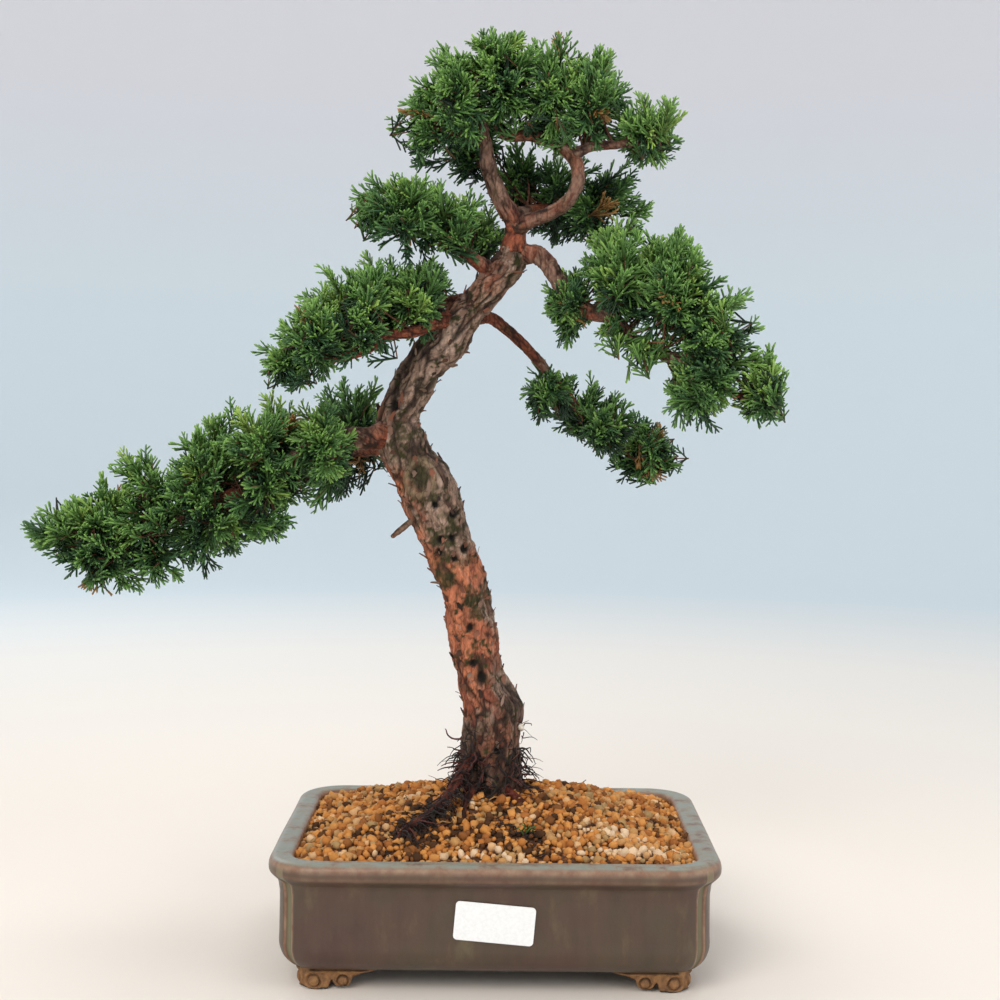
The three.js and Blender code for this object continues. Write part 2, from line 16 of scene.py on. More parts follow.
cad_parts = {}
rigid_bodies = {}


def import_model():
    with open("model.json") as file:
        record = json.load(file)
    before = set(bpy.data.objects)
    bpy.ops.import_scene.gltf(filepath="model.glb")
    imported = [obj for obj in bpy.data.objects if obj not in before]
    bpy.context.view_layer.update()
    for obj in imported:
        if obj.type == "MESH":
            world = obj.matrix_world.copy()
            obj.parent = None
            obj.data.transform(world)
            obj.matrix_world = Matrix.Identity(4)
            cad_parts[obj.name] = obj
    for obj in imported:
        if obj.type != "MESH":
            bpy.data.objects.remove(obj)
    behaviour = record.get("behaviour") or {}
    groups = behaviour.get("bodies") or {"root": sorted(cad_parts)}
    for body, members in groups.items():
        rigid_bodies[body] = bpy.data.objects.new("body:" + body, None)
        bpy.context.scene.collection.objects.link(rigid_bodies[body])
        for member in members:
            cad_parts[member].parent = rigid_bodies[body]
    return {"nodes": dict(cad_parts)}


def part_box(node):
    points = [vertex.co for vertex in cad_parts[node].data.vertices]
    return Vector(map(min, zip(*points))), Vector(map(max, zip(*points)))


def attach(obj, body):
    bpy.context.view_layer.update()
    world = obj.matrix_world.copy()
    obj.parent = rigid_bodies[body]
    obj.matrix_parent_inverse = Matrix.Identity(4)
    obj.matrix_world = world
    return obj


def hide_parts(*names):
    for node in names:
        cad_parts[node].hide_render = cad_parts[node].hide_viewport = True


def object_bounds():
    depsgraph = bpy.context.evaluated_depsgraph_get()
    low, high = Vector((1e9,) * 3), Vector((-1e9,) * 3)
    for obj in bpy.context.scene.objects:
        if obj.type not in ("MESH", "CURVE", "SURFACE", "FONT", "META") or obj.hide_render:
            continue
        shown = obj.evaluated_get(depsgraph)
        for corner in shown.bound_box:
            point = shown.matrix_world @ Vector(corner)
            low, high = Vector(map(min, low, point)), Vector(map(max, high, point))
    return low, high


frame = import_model()
cad_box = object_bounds()

bl_info = {
    "name": "Juniper Bonsai",
    "version": (1, 0, 0),
    "blender": (4, 5, 0),
    "location": "View3D > Sidebar > Bonsai",
    "description": "Makes a juniper bonsai in a glazed pot, piece by piece",
    "category": "Add Mesh",
}

MM = 0.001

# Places taken from the frame
pot_low, pot_high = (np.array(corner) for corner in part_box("pot"))
POT_MIDDLE = (pot_low + pot_high) / 2
SOIL_CROWN = pot_high[2] + 22 * MM
POT_FOOT = np.array([POT_MIDDLE[0], POT_MIDDLE[1], pot_low[2]])
TRUNK_X, TRUNK_Y = -3.0, 4.0  # from the pot's middle, millimetres
TRUNK_FOOT = np.array([POT_MIDDLE[0] + TRUNK_X * MM, POT_MIDDLE[1] + TRUNK_Y * MM, SOIL_CROWN - 2 * MM])
BOX_LOW, BOX_HIGH = (np.array(corner) for corner in cad_box)

# Wood: millimetres from the trunk's foot, each point x, y, z and radius
TRUNK = [
    (0, 0, -26, 19), (0, 0, -9, 18.5), (0, 0, 1, 16), (0, 0.5, 19, 15.5), (0, 1, 39, 15),
    (-4.5, 1, 53, 12.7), (-11, 2, 79, 12.5), (-15, 3, 103, 12.4), (-21, 4, 118, 12.8), (-25, 5, 129, 12.8),
    (-29, 5, 140, 14), (-33, 5, 151, 15.5), (-37, 5, 162, 14.9), (-44.5, 5, 173, 13), (-49, 4, 184.5, 12.6),
    (-50, 2, 195, 10.5), (-44, 0, 209, 10.6), (-36, -2, 224, 10.6), (-25, -4, 235, 10.8), (-17, -6, 248, 9.5),
    (-11, -7, 255, 8.4), (-1, -9, 267, 8.4), (8, -11, 277, 8.2), (9, -12, 284, 6.6),
]
LIMBS = {
    "apex_leader": [
        (9, -12, 282, 5.4), (9.7, -13, 291.8, 4.9), (9.6, -14, 296.3, 4.9), (3.8, -16, 305.8, 4.7),
        (-2, -18, 318.4, 4.5), (-4.6, -20, 327.8, 4), (-5.6, -21, 335.7, 3.1), (-8.7, -22, 349.8, 2.6),
        (-11, -22, 362.4, 2),
    ],
    "branch_low_left": [
        (-47, 3, 186, 7), (-56, 0, 187.5, 6.9), (-64, -6, 184.5, 6.3), (-81, -14, 185, 4.7),
        (-97, -20, 177.7, 4.1), (-114.5, -24, 164.7, 3.9), (-127, -28, 158, 3.6), (-147.5, -32, 150, 3.3),
        (-164.4, -34, 142.2, 3), (-181, -36, 134.5, 2.5), (-204, -38, 132, 2), (-222, -38, 134, 1.5),
    ],
    "branch_back_left": [
        (-48, 5, 180, 4), (-56, 14, 180, 3.8), (-66.6, 27, 177.5, 3.3), (-77, 42, 175.7, 2.8),
        (-87, 58, 176.4, 2.5), (-94, 72, 180, 2),
    ],
    "branch_mid_left": [
        (-21, -8, 246, 4.6), (-30, -16, 245, 3.6), (-40.5, -22, 240, 3.1), (-55, -28, 237, 2.8),
        (-65.8, -32, 229.6, 2.8), (-78, -36, 225.8, 2.3), (-93, -38, 223, 2), (-105, -38, 221.4, 1.5),
    ],
    "branch_mid_back": [
        (-12, -4, 254, 3.2), (-18, 3, 257.6, 3.2), (-27.4, 10, 256.4, 2.7), (-36.4, 20, 256.5, 2.4),
        (-52, 30, 259, 2.2), (-66.4, 38, 259.5, 1.8),
    ],
    "branch_upper_left": [
        (2, -9, 271, 4.4), (-4, -11, 273, 4.2), (-9, -14, 276, 3.6), (-18.4, -18, 282.3, 3.4),
        (-29.7, -22, 291.5, 3.1), (-42.3, -26, 296, 2.6), (-55, -30, 300.4, 2), (-64, -32, 302.5, 1.5),
    ],
    "branch_right": [
        (7, -10, 278, 5.4), (12.5, -11, 279.7, 5.2), (21.3, -16, 280, 4.7), (31, -22, 268.7, 4.4),
        (37.6, -26, 256.8, 4.1), (47.2, -30, 250.6, 4.1), (59.7, -34, 246, 3.8), (71.2, -38, 234.3, 3.5),
        (85, -42, 228.3, 3.3), (102.7, -46, 218.4, 2.5), (119.8, -50, 208.5, 2), (134, -52, 209, 1.5),
    ],
    "branch_low_right": [
        (-14, -4, 248, 3.8), (-3.3, 4, 248.4, 3.2), (5.2, 10, 243.5, 2.9), (13.9, 16, 236, 2.9),
        (22.7, 22, 227.6, 2.7), (31.7, 28, 217, 2.5), (40.7, 32, 206.8, 2.5), (51.5, 36, 195, 2.2),
        (60.6, 39, 187.8, 2.2), (75.4, 42, 175.7, 1.9), (87, 44, 171.8, 1.6),
    ],
    "apex_loop": [
        (9.6, -14, 293, 4), (18, -16, 297.7, 3.6), (27.6, -20, 300.9, 3.4), (37, -24, 307, 3.4),
        (41.4, -26, 316, 3.4), (39.8, -26, 327, 3.4), (30, -24, 335.8, 3.4), (16.9, -20, 340.4, 3.4),
        (4, -14, 341.7, 3), (0, -8, 352.4, 2.6), (4, -4, 366, 2.1),
    ],
    "apex_side_twig": [
        (39, -26, 330, 2.8), (49, -26, 334, 2.4), (62, -25, 335, 2.1), (72, -24, 337, 1.9),
        (82, -22, 340, 1.5),
    ],
    "apex_back_twig": [
        (7.5, -14.5, 300, 3), (12, -4, 303, 2.8), (18, 10, 306, 2.6), (28, 22, 309, 2.3),
        (44, 22, 311, 2), (58, 20, 310, 1.5),
    ],
    "dead_stub": [(-34, 2, 144, 2.4), (-42, -2, 141.5, 1.8), (-48, -6, 137, 1.6), (-53, -10, 133, 1.2)],
    "root_front_left": [
        (-6, -6, 18, 2.8), (-14, -16, 12, 2.2), (-21, -29, 2, 2), (-30, -43, -5, 1.9), (-42, -53, -11, 1.6),
        (-52, -60, -22, 1.2),
    ],
    "root_front": [
        (-4, -6, 4, 2.4), (-10, -19, 0, 1.8), (-13, -30, -4, 1.5), (-13, -44, -12, 1.2), (-12, -54, -22, 1.1),
    ],
    "root_front_right": [
        (4, -6, 3, 3), (11, -17, -1, 2.2), (20, -25, -6, 1.7), (30, -31, -12, 1.3), (38, -36, -22, 1.1),
    ],
    "root_right": [(6, 2, 3, 3.4), (19, 4, -3, 2.6), (32, 8, -10, 2), (46, 12, -20, 1.6)],
    "root_back": [(-4, 8, 3, 3.6), (-12, 21, -3, 2.8), (-22, 34, -10, 2.2), (-30, 46, -20, 1.8)],
}

# Foliage: each pad's clumps, millimetres from the trunk's foot, x, y, z, half-width, half-depth, half-height
PADS = {
    "foliage_low_left_tip": [
        (-216, -38, 136, 22, 20, 17), (-196, -48, 132, 22, 24, 29), (-194, -22, 135, 22, 24, 26),
        (-172, -42, 144, 22, 28, 32),
    ],
    "foliage_low_left_middle": [(-148, -46, 152, 22, 28, 33), (-142, -14, 158, 24, 30, 36)],
    "foliage_low_left_inner": [
        (-120, -40, 166, 22, 30, 34), (-114, -8, 172, 22, 28, 33), (-90, -24, 177, 20, 30, 25),
    ],
    "foliage_back_left": [(-78, 54, 185, 22, 26, 30), (-90, 72, 182, 22, 24, 28),
                          (-104, 84, 176, 18, 18, 20)],
    "foliage_mid_left_tip": [
        (-107, -38, 222, 15, 20, 15), (-90, -46, 236, 18, 24, 24), (-84, -20, 240, 18, 22, 24),
    ],
    "foliage_mid_left_inner": [
        (-68, -42, 250, 19, 24, 26), (-62, -14, 254, 19, 24, 26), (-42, -26, 258, 18, 24, 21),
    ],
    "foliage_mid_back": [(-38, 28, 261, 20, 20, 20), (-54, 44, 262, 22, 22, 20), (-72, 38, 258, 14, 18, 14)],
    "foliage_upper_left": [
        (-61, -32, 302, 12, 18, 14), (-45, -38, 298, 16, 20, 19), (-40, -16, 300, 16, 18, 19),
        (-22, -22, 295, 18, 24, 21), (-6, 6, 292, 15, 20, 15),
    ],
    "foliage_right_inner": [(40, -22, 254, 15, 24, 24), (62, -40, 268, 20, 24, 28),
                            (64, -14, 272, 20, 22, 27)],
    "foliage_right_middle": [
        (90, -52, 262, 20, 24, 25), (88, -24, 265, 20, 24, 26), (102, -44, 247, 17, 24, 20),
    ],
    "foliage_right_tip": [(112, -50, 234, 22, 30, 26), (132, -52, 212, 15, 22, 19),
                          (104, -44, 212, 20, 28, 22)],
    "foliage_low_right_inner": [(30, 28, 210, 17, 20, 17), (50, 44, 198, 18, 20, 18),
                                (62, 26, 190, 18, 20, 18)],
    "foliage_low_right_tip": [(82, 48, 180, 18, 20, 20), (90, 32, 176, 12, 18, 15)],
    "foliage_apex_left": [(-38, -24, 345, 15, 20, 21), (-22, -34, 357, 18, 20, 26),
                          (-18, -8, 364, 16, 20, 20)],
    "foliage_apex_top": [(2, -30, 368, 20, 22, 27), (6, -4, 373, 18, 22, 23), (26, -20, 364, 19, 26, 27)],
    "foliage_apex_right": [(47, -24, 359, 18, 24, 25), (50, 2, 363, 17, 20, 21), (74, -20, 344, 21, 22, 19)],
    "foliage_apex_back": [
        (57, 20, 309, 25, 22, 25), (34, 30, 313, 22, 20, 25), (10, 30, 324, 18, 18, 22),
        (-13, 24, 342, 19, 20, 22),
    ],
}
PAD_LIMB = {
    "foliage_low_left_tip": "branch_low_left", "foliage_low_left_middle": "branch_low_left",
    "foliage_low_left_inner": "branch_low_left", "foliage_back_left": "branch_back_left",
    "foliage_mid_left_tip": "branch_mid_left", "foliage_mid_left_inner": "branch_mid_left",
    "foliage_mid_back": "branch_mid_back", "foliage_upper_left": "branch_upper_left",
    "foliage_right_inner": "branch_right", "foliage_right_middle": "branch_right",
    "foliage_right_tip": "branch_right", "foliage_low_right_inner": "branch_low_right",
    "foliage_low_right_tip": "branch_low_right", "foliage_apex_left": "apex_leader",
    "foliage_apex_top": "apex_loop", "foliage_apex_right": "apex_side_twig",
    "foliage_apex_back": "apex_back_twig",
}
# Pads at the back, given painted shade: their sprays take a darker green
SHADED_BACK_PADS = ("foliage_back_left", "foliage_mid_back", "foliage_low_right_inner", "foliage_low_right_tip",
               "foliage_apex_back")


def srgb(red, green, blue, alpha=1.0):
    """A scene-linear colour from 0 to 255 screen values."""
    linear = [((c / 255 + 0.055) / 1.055) ** 2.4 if c > 10 else c / 255 / 12.92 for c in (red, green, blue)]
    return (*linear, alpha)


# Settings a user would change


def colour_setting(name, text, *screen):
    """A colour with its default in 0 to 255 screen values."""
    return bpy.props.FloatVectorProperty(
        name=name, description=text, subtype="COLOR", size=4, min=0, max=1, default=srgb(*screen))


def length_setting(name, text, size, least=0):
    """A length with its default and its least value in millimetres."""
    return bpy.props.FloatProperty(
        name=name, description=text, default=size * MM, min=least * MM, unit="LENGTH", precision=4)


class BonsaiWood(bpy.types.PropertyGroup):
    relief: length_setting("Bark relief", "Height of the bark's plates over its cracks", 1.5)
    plate: length_setting("Plate width", "Width of a bark plate across the trunk", 6.5, 1)
    flakes: length_setting("Flake spacing", "Least distance between loose bark flakes", 7, 2)
    underbark: colour_setting("Fresh bark", "Bark laid bare where a strip has peeled off", 190, 116, 82)
    weathered: colour_setting("Weathered bark", "Old outer bark", 154, 126, 108)
    moss: colour_setting("Moss", "Dry moss in the bark's hollows", 80, 76, 44)


class BonsaiFoliage(bpy.types.PropertyGroup):
    spray_area: bpy.props.FloatProperty(
        name="Area per spray", description="Pad surface that each spray of shoots covers, square millimetres",
        default=140, min=60)
    shoot: length_setting("Shoot length", "Length of the longest shoots", 18, 2)
    # Dark end of the leaf ramp, where the painted shade of deep sprays and back pads leans
    shade: colour_setting("Inner green", "Shoots deep in a pad", 28, 50, 30)
    leaf: colour_setting("Leaf green", "Grown shoots", 88, 130, 64)
    tip: colour_setting("New green", "Fresh tips", 158, 190, 92)


class BonsaiSoil(bpy.types.PropertyGroup):
    spacing: length_setting("Granule spacing", "Least distance between granules", 2.7, 1)
    smallest: length_setting("Smallest granule", "Width of the smallest granules", 2.8, 0.5)
    largest: length_setting("Largest granule", "Width of the largest granules", 6.2, 1)
    clay: colour_setting("Fired clay", "Most of the granules", 208, 140, 70)
    pumice: colour_setting("Pumice", "The pale granules", 234, 204, 168)


class BonsaiPot(bpy.types.PropertyGroup):
    glaze: colour_setting("Body glaze", "Satin glaze on the sides", 80, 60, 48)
    rim: colour_setting("Rim glaze", "Glaze pooled on top of the rim", 142, 146, 132)
    corner: colour_setting("Corner glaze", "Green glaze on the rounded corners", 136, 134, 104)
    clay: colour_setting("Bare clay", "Unglazed clay of the feet", 140, 98, 58)


class BonsaiStage(bpy.types.PropertyGroup):
    floor: colour_setting("Floor", "Pale cream floor", 240, 231, 219)
    sky: colour_setting("Backdrop", "Pale blue of the backdrop", 212, 223, 227)
    key: bpy.props.FloatProperty(
        name="Key light", description="Power of the large front light in watts", default=14.5, min=0)
    lens: bpy.props.FloatProperty(
        name="Lens", description="Focal length of the camera in millimetres", default=58.1, min=10)


GROUPS = {"bonsai_wood": BonsaiWood, "bonsai_foliage": BonsaiFoliage, "bonsai_soil": BonsaiSoil,
          "bonsai_pot": BonsaiPot, "bonsai_stage": BonsaiStage}


# Meshes


def unit(vectors):
    """Vectors scaled to length 1."""
    vectors = np.asarray(vectors, float)
    return vectors / np.maximum(np.linalg.norm(vectors, axis=-1, keepdims=True), 1e-12)


def smoothstep(low, high, value):
    """0 below low, 1 above high, and a smooth rise between."""
    share = np.clip((value - low) / (high - low), 0, 1)
    return share * share * (3 - 2 * share)


def ring_angles(sides):
    """Even angles once round."""
    return np.arange(sides) / sides * math.tau


def make_mesh(name, points, faces, smooth=True):
    """A mesh from points and faces."""
    mesh = bpy.data.meshes.new(name)
    mesh.from_pydata(np.asarray(points, float).tolist(), [], [tuple(face) for face in faces])
    mesh.polygons.foreach_set("use_smooth", [smooth] * len(mesh.polygons))
    return mesh


def make_piece(name, points, faces, material=None):
    """A mesh object in the scene, its place in its mesh."""
    mesh = make_mesh(name, points, faces)
    if material:
        mesh.materials.append(material)
    mesh.update()
    piece = bpy.data.objects.new(name, mesh)
    bpy.context.scene.collection.objects.link(piece)
    return piece


def settle(piece, slot, *nodes):
    """Fixes a finished piece to the object, in place of its CAD nodes."""
    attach(piece, "root")
    if nodes:
        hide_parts(*nodes)


def paint(piece, name, colours):
    """Stores a colour for each point."""
    layer = piece.data.color_attributes.new(name, "FLOAT_COLOR", "POINT")
    colours = np.asarray(colours, np.float32).reshape(-1, 4)
    layer.data.foreach_set("color", colours.ravel())


def store(piece, name, kind, values):
    """Stores a number or vector for each point."""
    layer = piece.data.attributes.new(name, kind, "POINT")
    key = "vector" if kind == "FLOAT_VECTOR" else "value"
    layer.data.foreach_set(key, np.asarray(values, np.float32 if kind != "INT" else np.int32).ravel())


def skin_faces(rows, sides, capped=True):
    """Quads over rings of points, and fans to a middle point at each end, which follow the rings."""
    row = np.arange(rows - 1)[:, None] * sides
    side = np.arange(sides)[None, :]
    after = (side + 1) % sides
    quads = np.stack(np.broadcast_arrays(row + side, row + after, row + sides + after, row + sides + side),
                     -1)
    faces = [tuple(quad) for quad in quads.reshape(-1, 4).tolist()]
    if capped:
        last = (rows - 1) * sides
        for k in range(sides):
            j = (k + 1) % sides
            faces.append((rows * sides, j, k))
            faces.append((rows * sides + 1, last + k, last + j))
    return faces


def smooth_path(points, step):
    """Points every step along a smooth curve through the given ones; any further values follow along."""
    points = np.asarray(points, float)
    ends = np.vstack([2 * points[0] - points[1], points, 2 * points[-1] - points[-2]])
    gaps = np.linalg.norm(np.diff(ends[:, :3], axis=0), axis=1)
    knots = np.concatenate([[0], np.cumsum(np.sqrt(np.maximum(gaps, 1e-9)))])
    path = []
    for i in range(1, len(points)):
        t = knots[i - 1:i + 3]
        p = ends[i - 1:i + 3]
        count = max(1, math.ceil(gaps[i] / step))
        for when in np.linspace(t[1], t[2], count, endpoint=False):
            a = [(p[k] * (t[k + 1] - when) + p[k + 1] * (when - t[k])) / (t[k + 1] - t[k]) for k in range(3)]
            b = [(a[k] * (t[k + 2] - when) + a[k + 1] * (when - t[k])) / (t[k + 2] - t[k]) for k in range(2)]
            path.append((b[0] * (t[2] - when) + b[1] * (when - t[1])) / (t[2] - t[1]))
    path.append(points[-1])
    return np.array(path)


def path_frames(path):
    """Along, across and third directions at each point of a path, turning as little as they can."""
    along = unit(np.gradient(path[:, :3], axis=0))
    across = np.zeros_like(along)
    held = np.array([0.2, 1.0, 0.0])
    for i, direction in enumerate(along):
        held = held - direction * held.dot(direction)
        held /= np.linalg.norm(held)
        across[i] = held
    return along, across, np.cross(along, across)


def tube(points, radius, sides, taper=1.0):
    """Points and faces of a closed tube along a few points; its far end is taper times as thick."""
    path = np.asarray(points, float)
    along, across, third = path_frames(path)
    angle = ring_angles(sides)
    share = np.linspace(1, taper, len(path))[:, None, None] * radius
    ring = np.cos(angle)[None, :, None] * across[:, None] + np.sin(angle)[None, :, None] * third[:, None]
    body = (path[:, None] + ring * share).reshape(-1, 3)
    return np.vstack([body, path[0], path[-1]]), skin_faces(len(path), sides)


def join_parts(parts):
    """One list of points and one of faces from several."""
    points, faces, first = [], [], 0
    for part_points, part_faces in parts:
        points.append(part_points)
        faces += [tuple(i + first for i in face) for face in part_faces]
        first += len(part_points)
    return np.vstack(points), faces


def painted_piece(name, parts, material, layer):
    """One piece of several parts, each points, faces and one colour or a colour for each point."""
    points, faces = join_parts([(points, faces) for points, faces, _ in parts])
    piece = make_piece(name, points, faces, material)
    tones = [np.broadcast_to(tone, (len(points), 4)) for points, _, tone in parts]
    paint(piece, layer, np.clip(np.vstack(tones), 0, 1))
    return piece


# Node trees


def add_node(tree, kind, inputs=None, **settings):
    """A node with its settings and inputs; an input is a value or another node's output."""
    node = tree.nodes.new(kind)
    for key, value in settings.items():
        setattr(node, key, value)
    for key, value in (inputs or {}).items():
        sockets = [s for s in node.inputs if s.enabled]
        socket = sockets[key] if isinstance(key, int) else next(s for s in sockets if s.name == key)
        if isinstance(value, bpy.types.NodeSocket):
            tree.links.new(value, socket)
        else:
            socket.default_value = value
    return node


def output(node, name=None):
    """A node's first enabled output, or the one with that name."""
    return next(s for s in node.outputs if s.enabled and (name is None or s.name == name))


def named_value(tree, name, kind="FLOAT"):
    """The value that each point carries under a name."""
    node = add_node(tree, "GeometryNodeInputNamedAttribute", {"Name": name}, data_type=kind)
    return output(node, "Attribute")


def random_value(tree, kind, low, high, seed=0):
    """A random value for each point."""
    node = add_node(tree, "FunctionNodeRandomValue", {"Min": low, "Max": high, "Seed": seed}, data_type=kind)
    return output(node)


def with_value(tree, geometry, name, value, kind="FLOAT", domain="POINT"):
    """Geometry that carries a value under a name."""
    inputs = {"Geometry": geometry, "Name": name, "Value": value}
    return output(add_node(tree, "GeometryNodeStoreNamedAttribute", inputs, data_type=kind, domain=domain))


def spread_points(tree, given, density):
    """Random points on a carrier's faces, none closer than the given spacing."""
    return add_node(tree, "GeometryNodeDistributePointsOnFaces", {
        "Mesh": given["Geometry"], "Distance Min": given["Spacing"], "Density Max": density,
        "Seed": given["Seed"]}, distribute_method="POISSON")


def maths(tree, how, first, second):
    """Two numbers put together."""
    return output(add_node(tree, "ShaderNodeMath", {0: first, 1: second}, operation=how))


def map_range(tree, value, low, high, to_low=0.0, to_high=1.0, how="LINEAR"):
    """A value moved from one range to another and kept in it."""
    inputs = {"Value": value, "From Min": low, "From Max": high, "To Min": to_low, "To Max": to_high}
    return output(add_node(tree, "ShaderNodeMapRange", inputs, interpolation_type=how))


def new_tree(name, inputs):
    """A Geometry Nodes tree with a geometry in and out and the named inputs."""
    tree = bpy.data.node_groups.new(name, "GeometryNodeTree")
    tree.interface.new_socket("Geometry", in_out="INPUT", socket_type="NodeSocketGeometry")
    for label, kind in inputs.items():
        tree.interface.new_socket(label, in_out="INPUT", socket_type="NodeSocket" + kind)
    tree.interface.new_socket("Geometry", in_out="OUTPUT", socket_type="NodeSocketGeometry")
    return tree, tree.nodes.new("NodeGroupInput").outputs


def finish_tree(tree, instances, material):
    """Ends a tree: real geometry, its palette place from the instance's shade, and its material."""
    real = add_node(tree, "GeometryNodeRealizeInstances", {"Geometry": instances})
    own = named_value(tree, "OFBake", "FLOAT_VECTOR")
    offset = add_node(tree, "ShaderNodeCombineXYZ", {"X": named_value(tree, "shade")})
    place = add_node(tree, "ShaderNodeVectorMath", {0: own, 1: output(offset)}, operation="ADD")
    mapped = with_value(tree, output(real), "OFBake", output(place), "FLOAT2", "CORNER")
    dressed = add_node(tree, "GeometryNodeSetMaterial", {"Geometry": mapped, "Material": material})
    end = tree.nodes.new("NodeGroupOutput")
    tree.links.new(output(dressed), end.inputs[0])


def pick_shapes(tree, points, shapes, rotation, scale, choice):
    """Instances of a collection's shapes on points."""
    info = add_node(tree, "GeometryNodeCollectionInfo",
                    {"Collection": shapes, "Separate Children": True, "Reset Children": True})
    return output(add_node(
        tree, "GeometryNodeInstanceOnPoints",
        {"Points": points, "Instance": output(info), "Pick Instance": True, "Instance Index": choice,
         "Rotation": rotation, "Scale": scale}))


def grown(name, carrier, tree, values):
    """The plain mesh piece that a tree makes of a carrier object, which goes."""
    modifier = carrier.modifiers.new("growth", "NODES")
    modifier.node_group = tree
    for item in tree.interface.items_tree:
        if item.item_type == "SOCKET" and item.in_out == "INPUT" and item.name in values:
            modifier[item.identifier] = values[item.name]
    graph = bpy.context.evaluated_depsgraph_get()
    mesh = bpy.data.meshes.new_from_object(
        carrier.evaluated_get(graph), preserve_all_data_layers=True, depsgraph=graph)
    carrier.modifiers.remove(modifier)
    bpy.data.objects.remove(carrier)
    for spare in [a.name for a in mesh.attributes if a.name in SPARE_ATTRIBUTES]:
        mesh.attributes.remove(mesh.attributes[spare])
    mesh.name = name
    piece = bpy.data.objects.new(name, mesh)
    bpy.context.scene.collection.objects.link(piece)
    return piece


SPARE_ATTRIBUTES = ("shade", "heading", "turn", "size", "kind", "along", "pale")


def shape_collection(name, shapes, smooth=True):
    """A collection, outside the scene, of small meshes: each shape is points, faces and palette places."""
    collection = bpy.data.collections.new(name)
    for index, (points, faces, places) in enumerate(shapes):
        mesh = make_mesh(f"{name}_{index}", points, faces, smooth)
        layer = mesh.uv_layers.new(name="OFBake")
        corners = np.array([corner.vertex_index for corner in mesh.loops])
        layer.data.foreach_set("uv", np.asarray(places, np.float32)[corners].ravel())
        collection.objects.link(bpy.data.objects.new(f"{name}_{index}", mesh))
    return collection


def clear_shapes(collection):
    """Removes a collection of shapes once they have been used."""
    for shape in list(collection.objects):
        mesh = shape.data
        bpy.data.objects.remove(shape)
        bpy.data.meshes.remove(mesh)
    bpy.data.collections.remove(collection)


# Materials


def new_material(name, **principled):
    """A material with a Principled shader; returns it, its tree and the shader."""
    material = bpy.data.materials.new(name)
    material.use_nodes = True
    tree = material.node_tree
    tree.nodes.clear()
    inputs = {name.replace("_", " "): value for name, value in principled.items()}
    shader = add_node(tree, "ShaderNodeBsdfPrincipled", inputs)
    end = tree.nodes.new("ShaderNodeOutputMaterial")
    tree.links.new(shader.outputs[0], end.inputs["Surface"])
    return material, tree, shader


def object_place(tree, stretch=(1, 1, 1)):
    """The place on the object, stretched."""
    place = add_node(tree, "ShaderNodeTexCoord")
    return output(add_node(tree, "ShaderNodeMapping", {"Vector": output(place, "Object"), "Scale": stretch}))


def ramp(tree, factor, stops):
    """A colour ramp over (place, colour) stops."""
    node = add_node(tree, "ShaderNodeValToRGB", {"Fac": factor})
    elements = node.color_ramp.elements
    while len(elements) < len(stops):
        elements.new(0.5)
    for element, (place, colour) in zip(elements, stops):
        element.position = place
        element.color = colour
    return output(node, "Color")


def grey(value):
    """A grey, or a factor for multiplying."""
    return (value, value, value, 1)


def blend_colours(tree, factor, first, second, how="MIX"):
    """Two colours mixed by a factor."""
    node = tree.nodes.new("ShaderNodeMix")
    node.data_type = "RGBA"
    node.blend_type = how
    for socket, value in ((node.inputs[0], factor), (node.inputs[6], first), (node.inputs[7], second)):
        if isinstance(value, bpy.types.NodeSocket):
            tree.links.new(value, socket)
        else:
            socket.default_value = value
    return node.outputs[2]


def shaded(tree, tone, strength, factor, *levels):
    """A colour multiplied by the grey levels of a ramp."""
    greys = ramp(tree, factor, [(place, grey(level)) for place, level in levels])
    return blend_colours(tree, strength, tone, greys, "MULTIPLY")


def noise_field(tree, place, scale, detail=4.0, roughness=0.55):
    """Noise between 0 and 1."""
    return output(add_node(tree, "ShaderNodeTexNoise", {
        "Vector": place, "Scale": scale, "Detail": detail, "Roughness": roughness}))


def raise_surface(tree, shader, height, distance, strength=1.0):
    """A bump on a shader."""
    bump = add_node(tree, "ShaderNodeBump", {"Height": height, "Distance": distance, "Strength": strength})
    tree.links.new(output(bump), shader.inputs["Normal"])


def palette_place(tree):
    """The two coordinates of the palette map: the shade, and the place from base to tip."""
    place = add_node(tree, "ShaderNodeUVMap", uv_map="OFBake")
    return add_node(tree, "ShaderNodeSeparateXYZ", {"Vector": output(place)}).outputs


# Stage

EYE_FROM_POT = np.array([0.5, -850, 286]) * MM  # from the middle of the pot's foot
EYE_PITCH = math.radians(3.2)  # looking down
EYE_ROLL = math.radians(0.6)
FLOOR_RADIUS = 1.7
WALL_RADIUS = 2.7
WALL_HEIGHT = 3.4
FLOOR_SIDES = 96


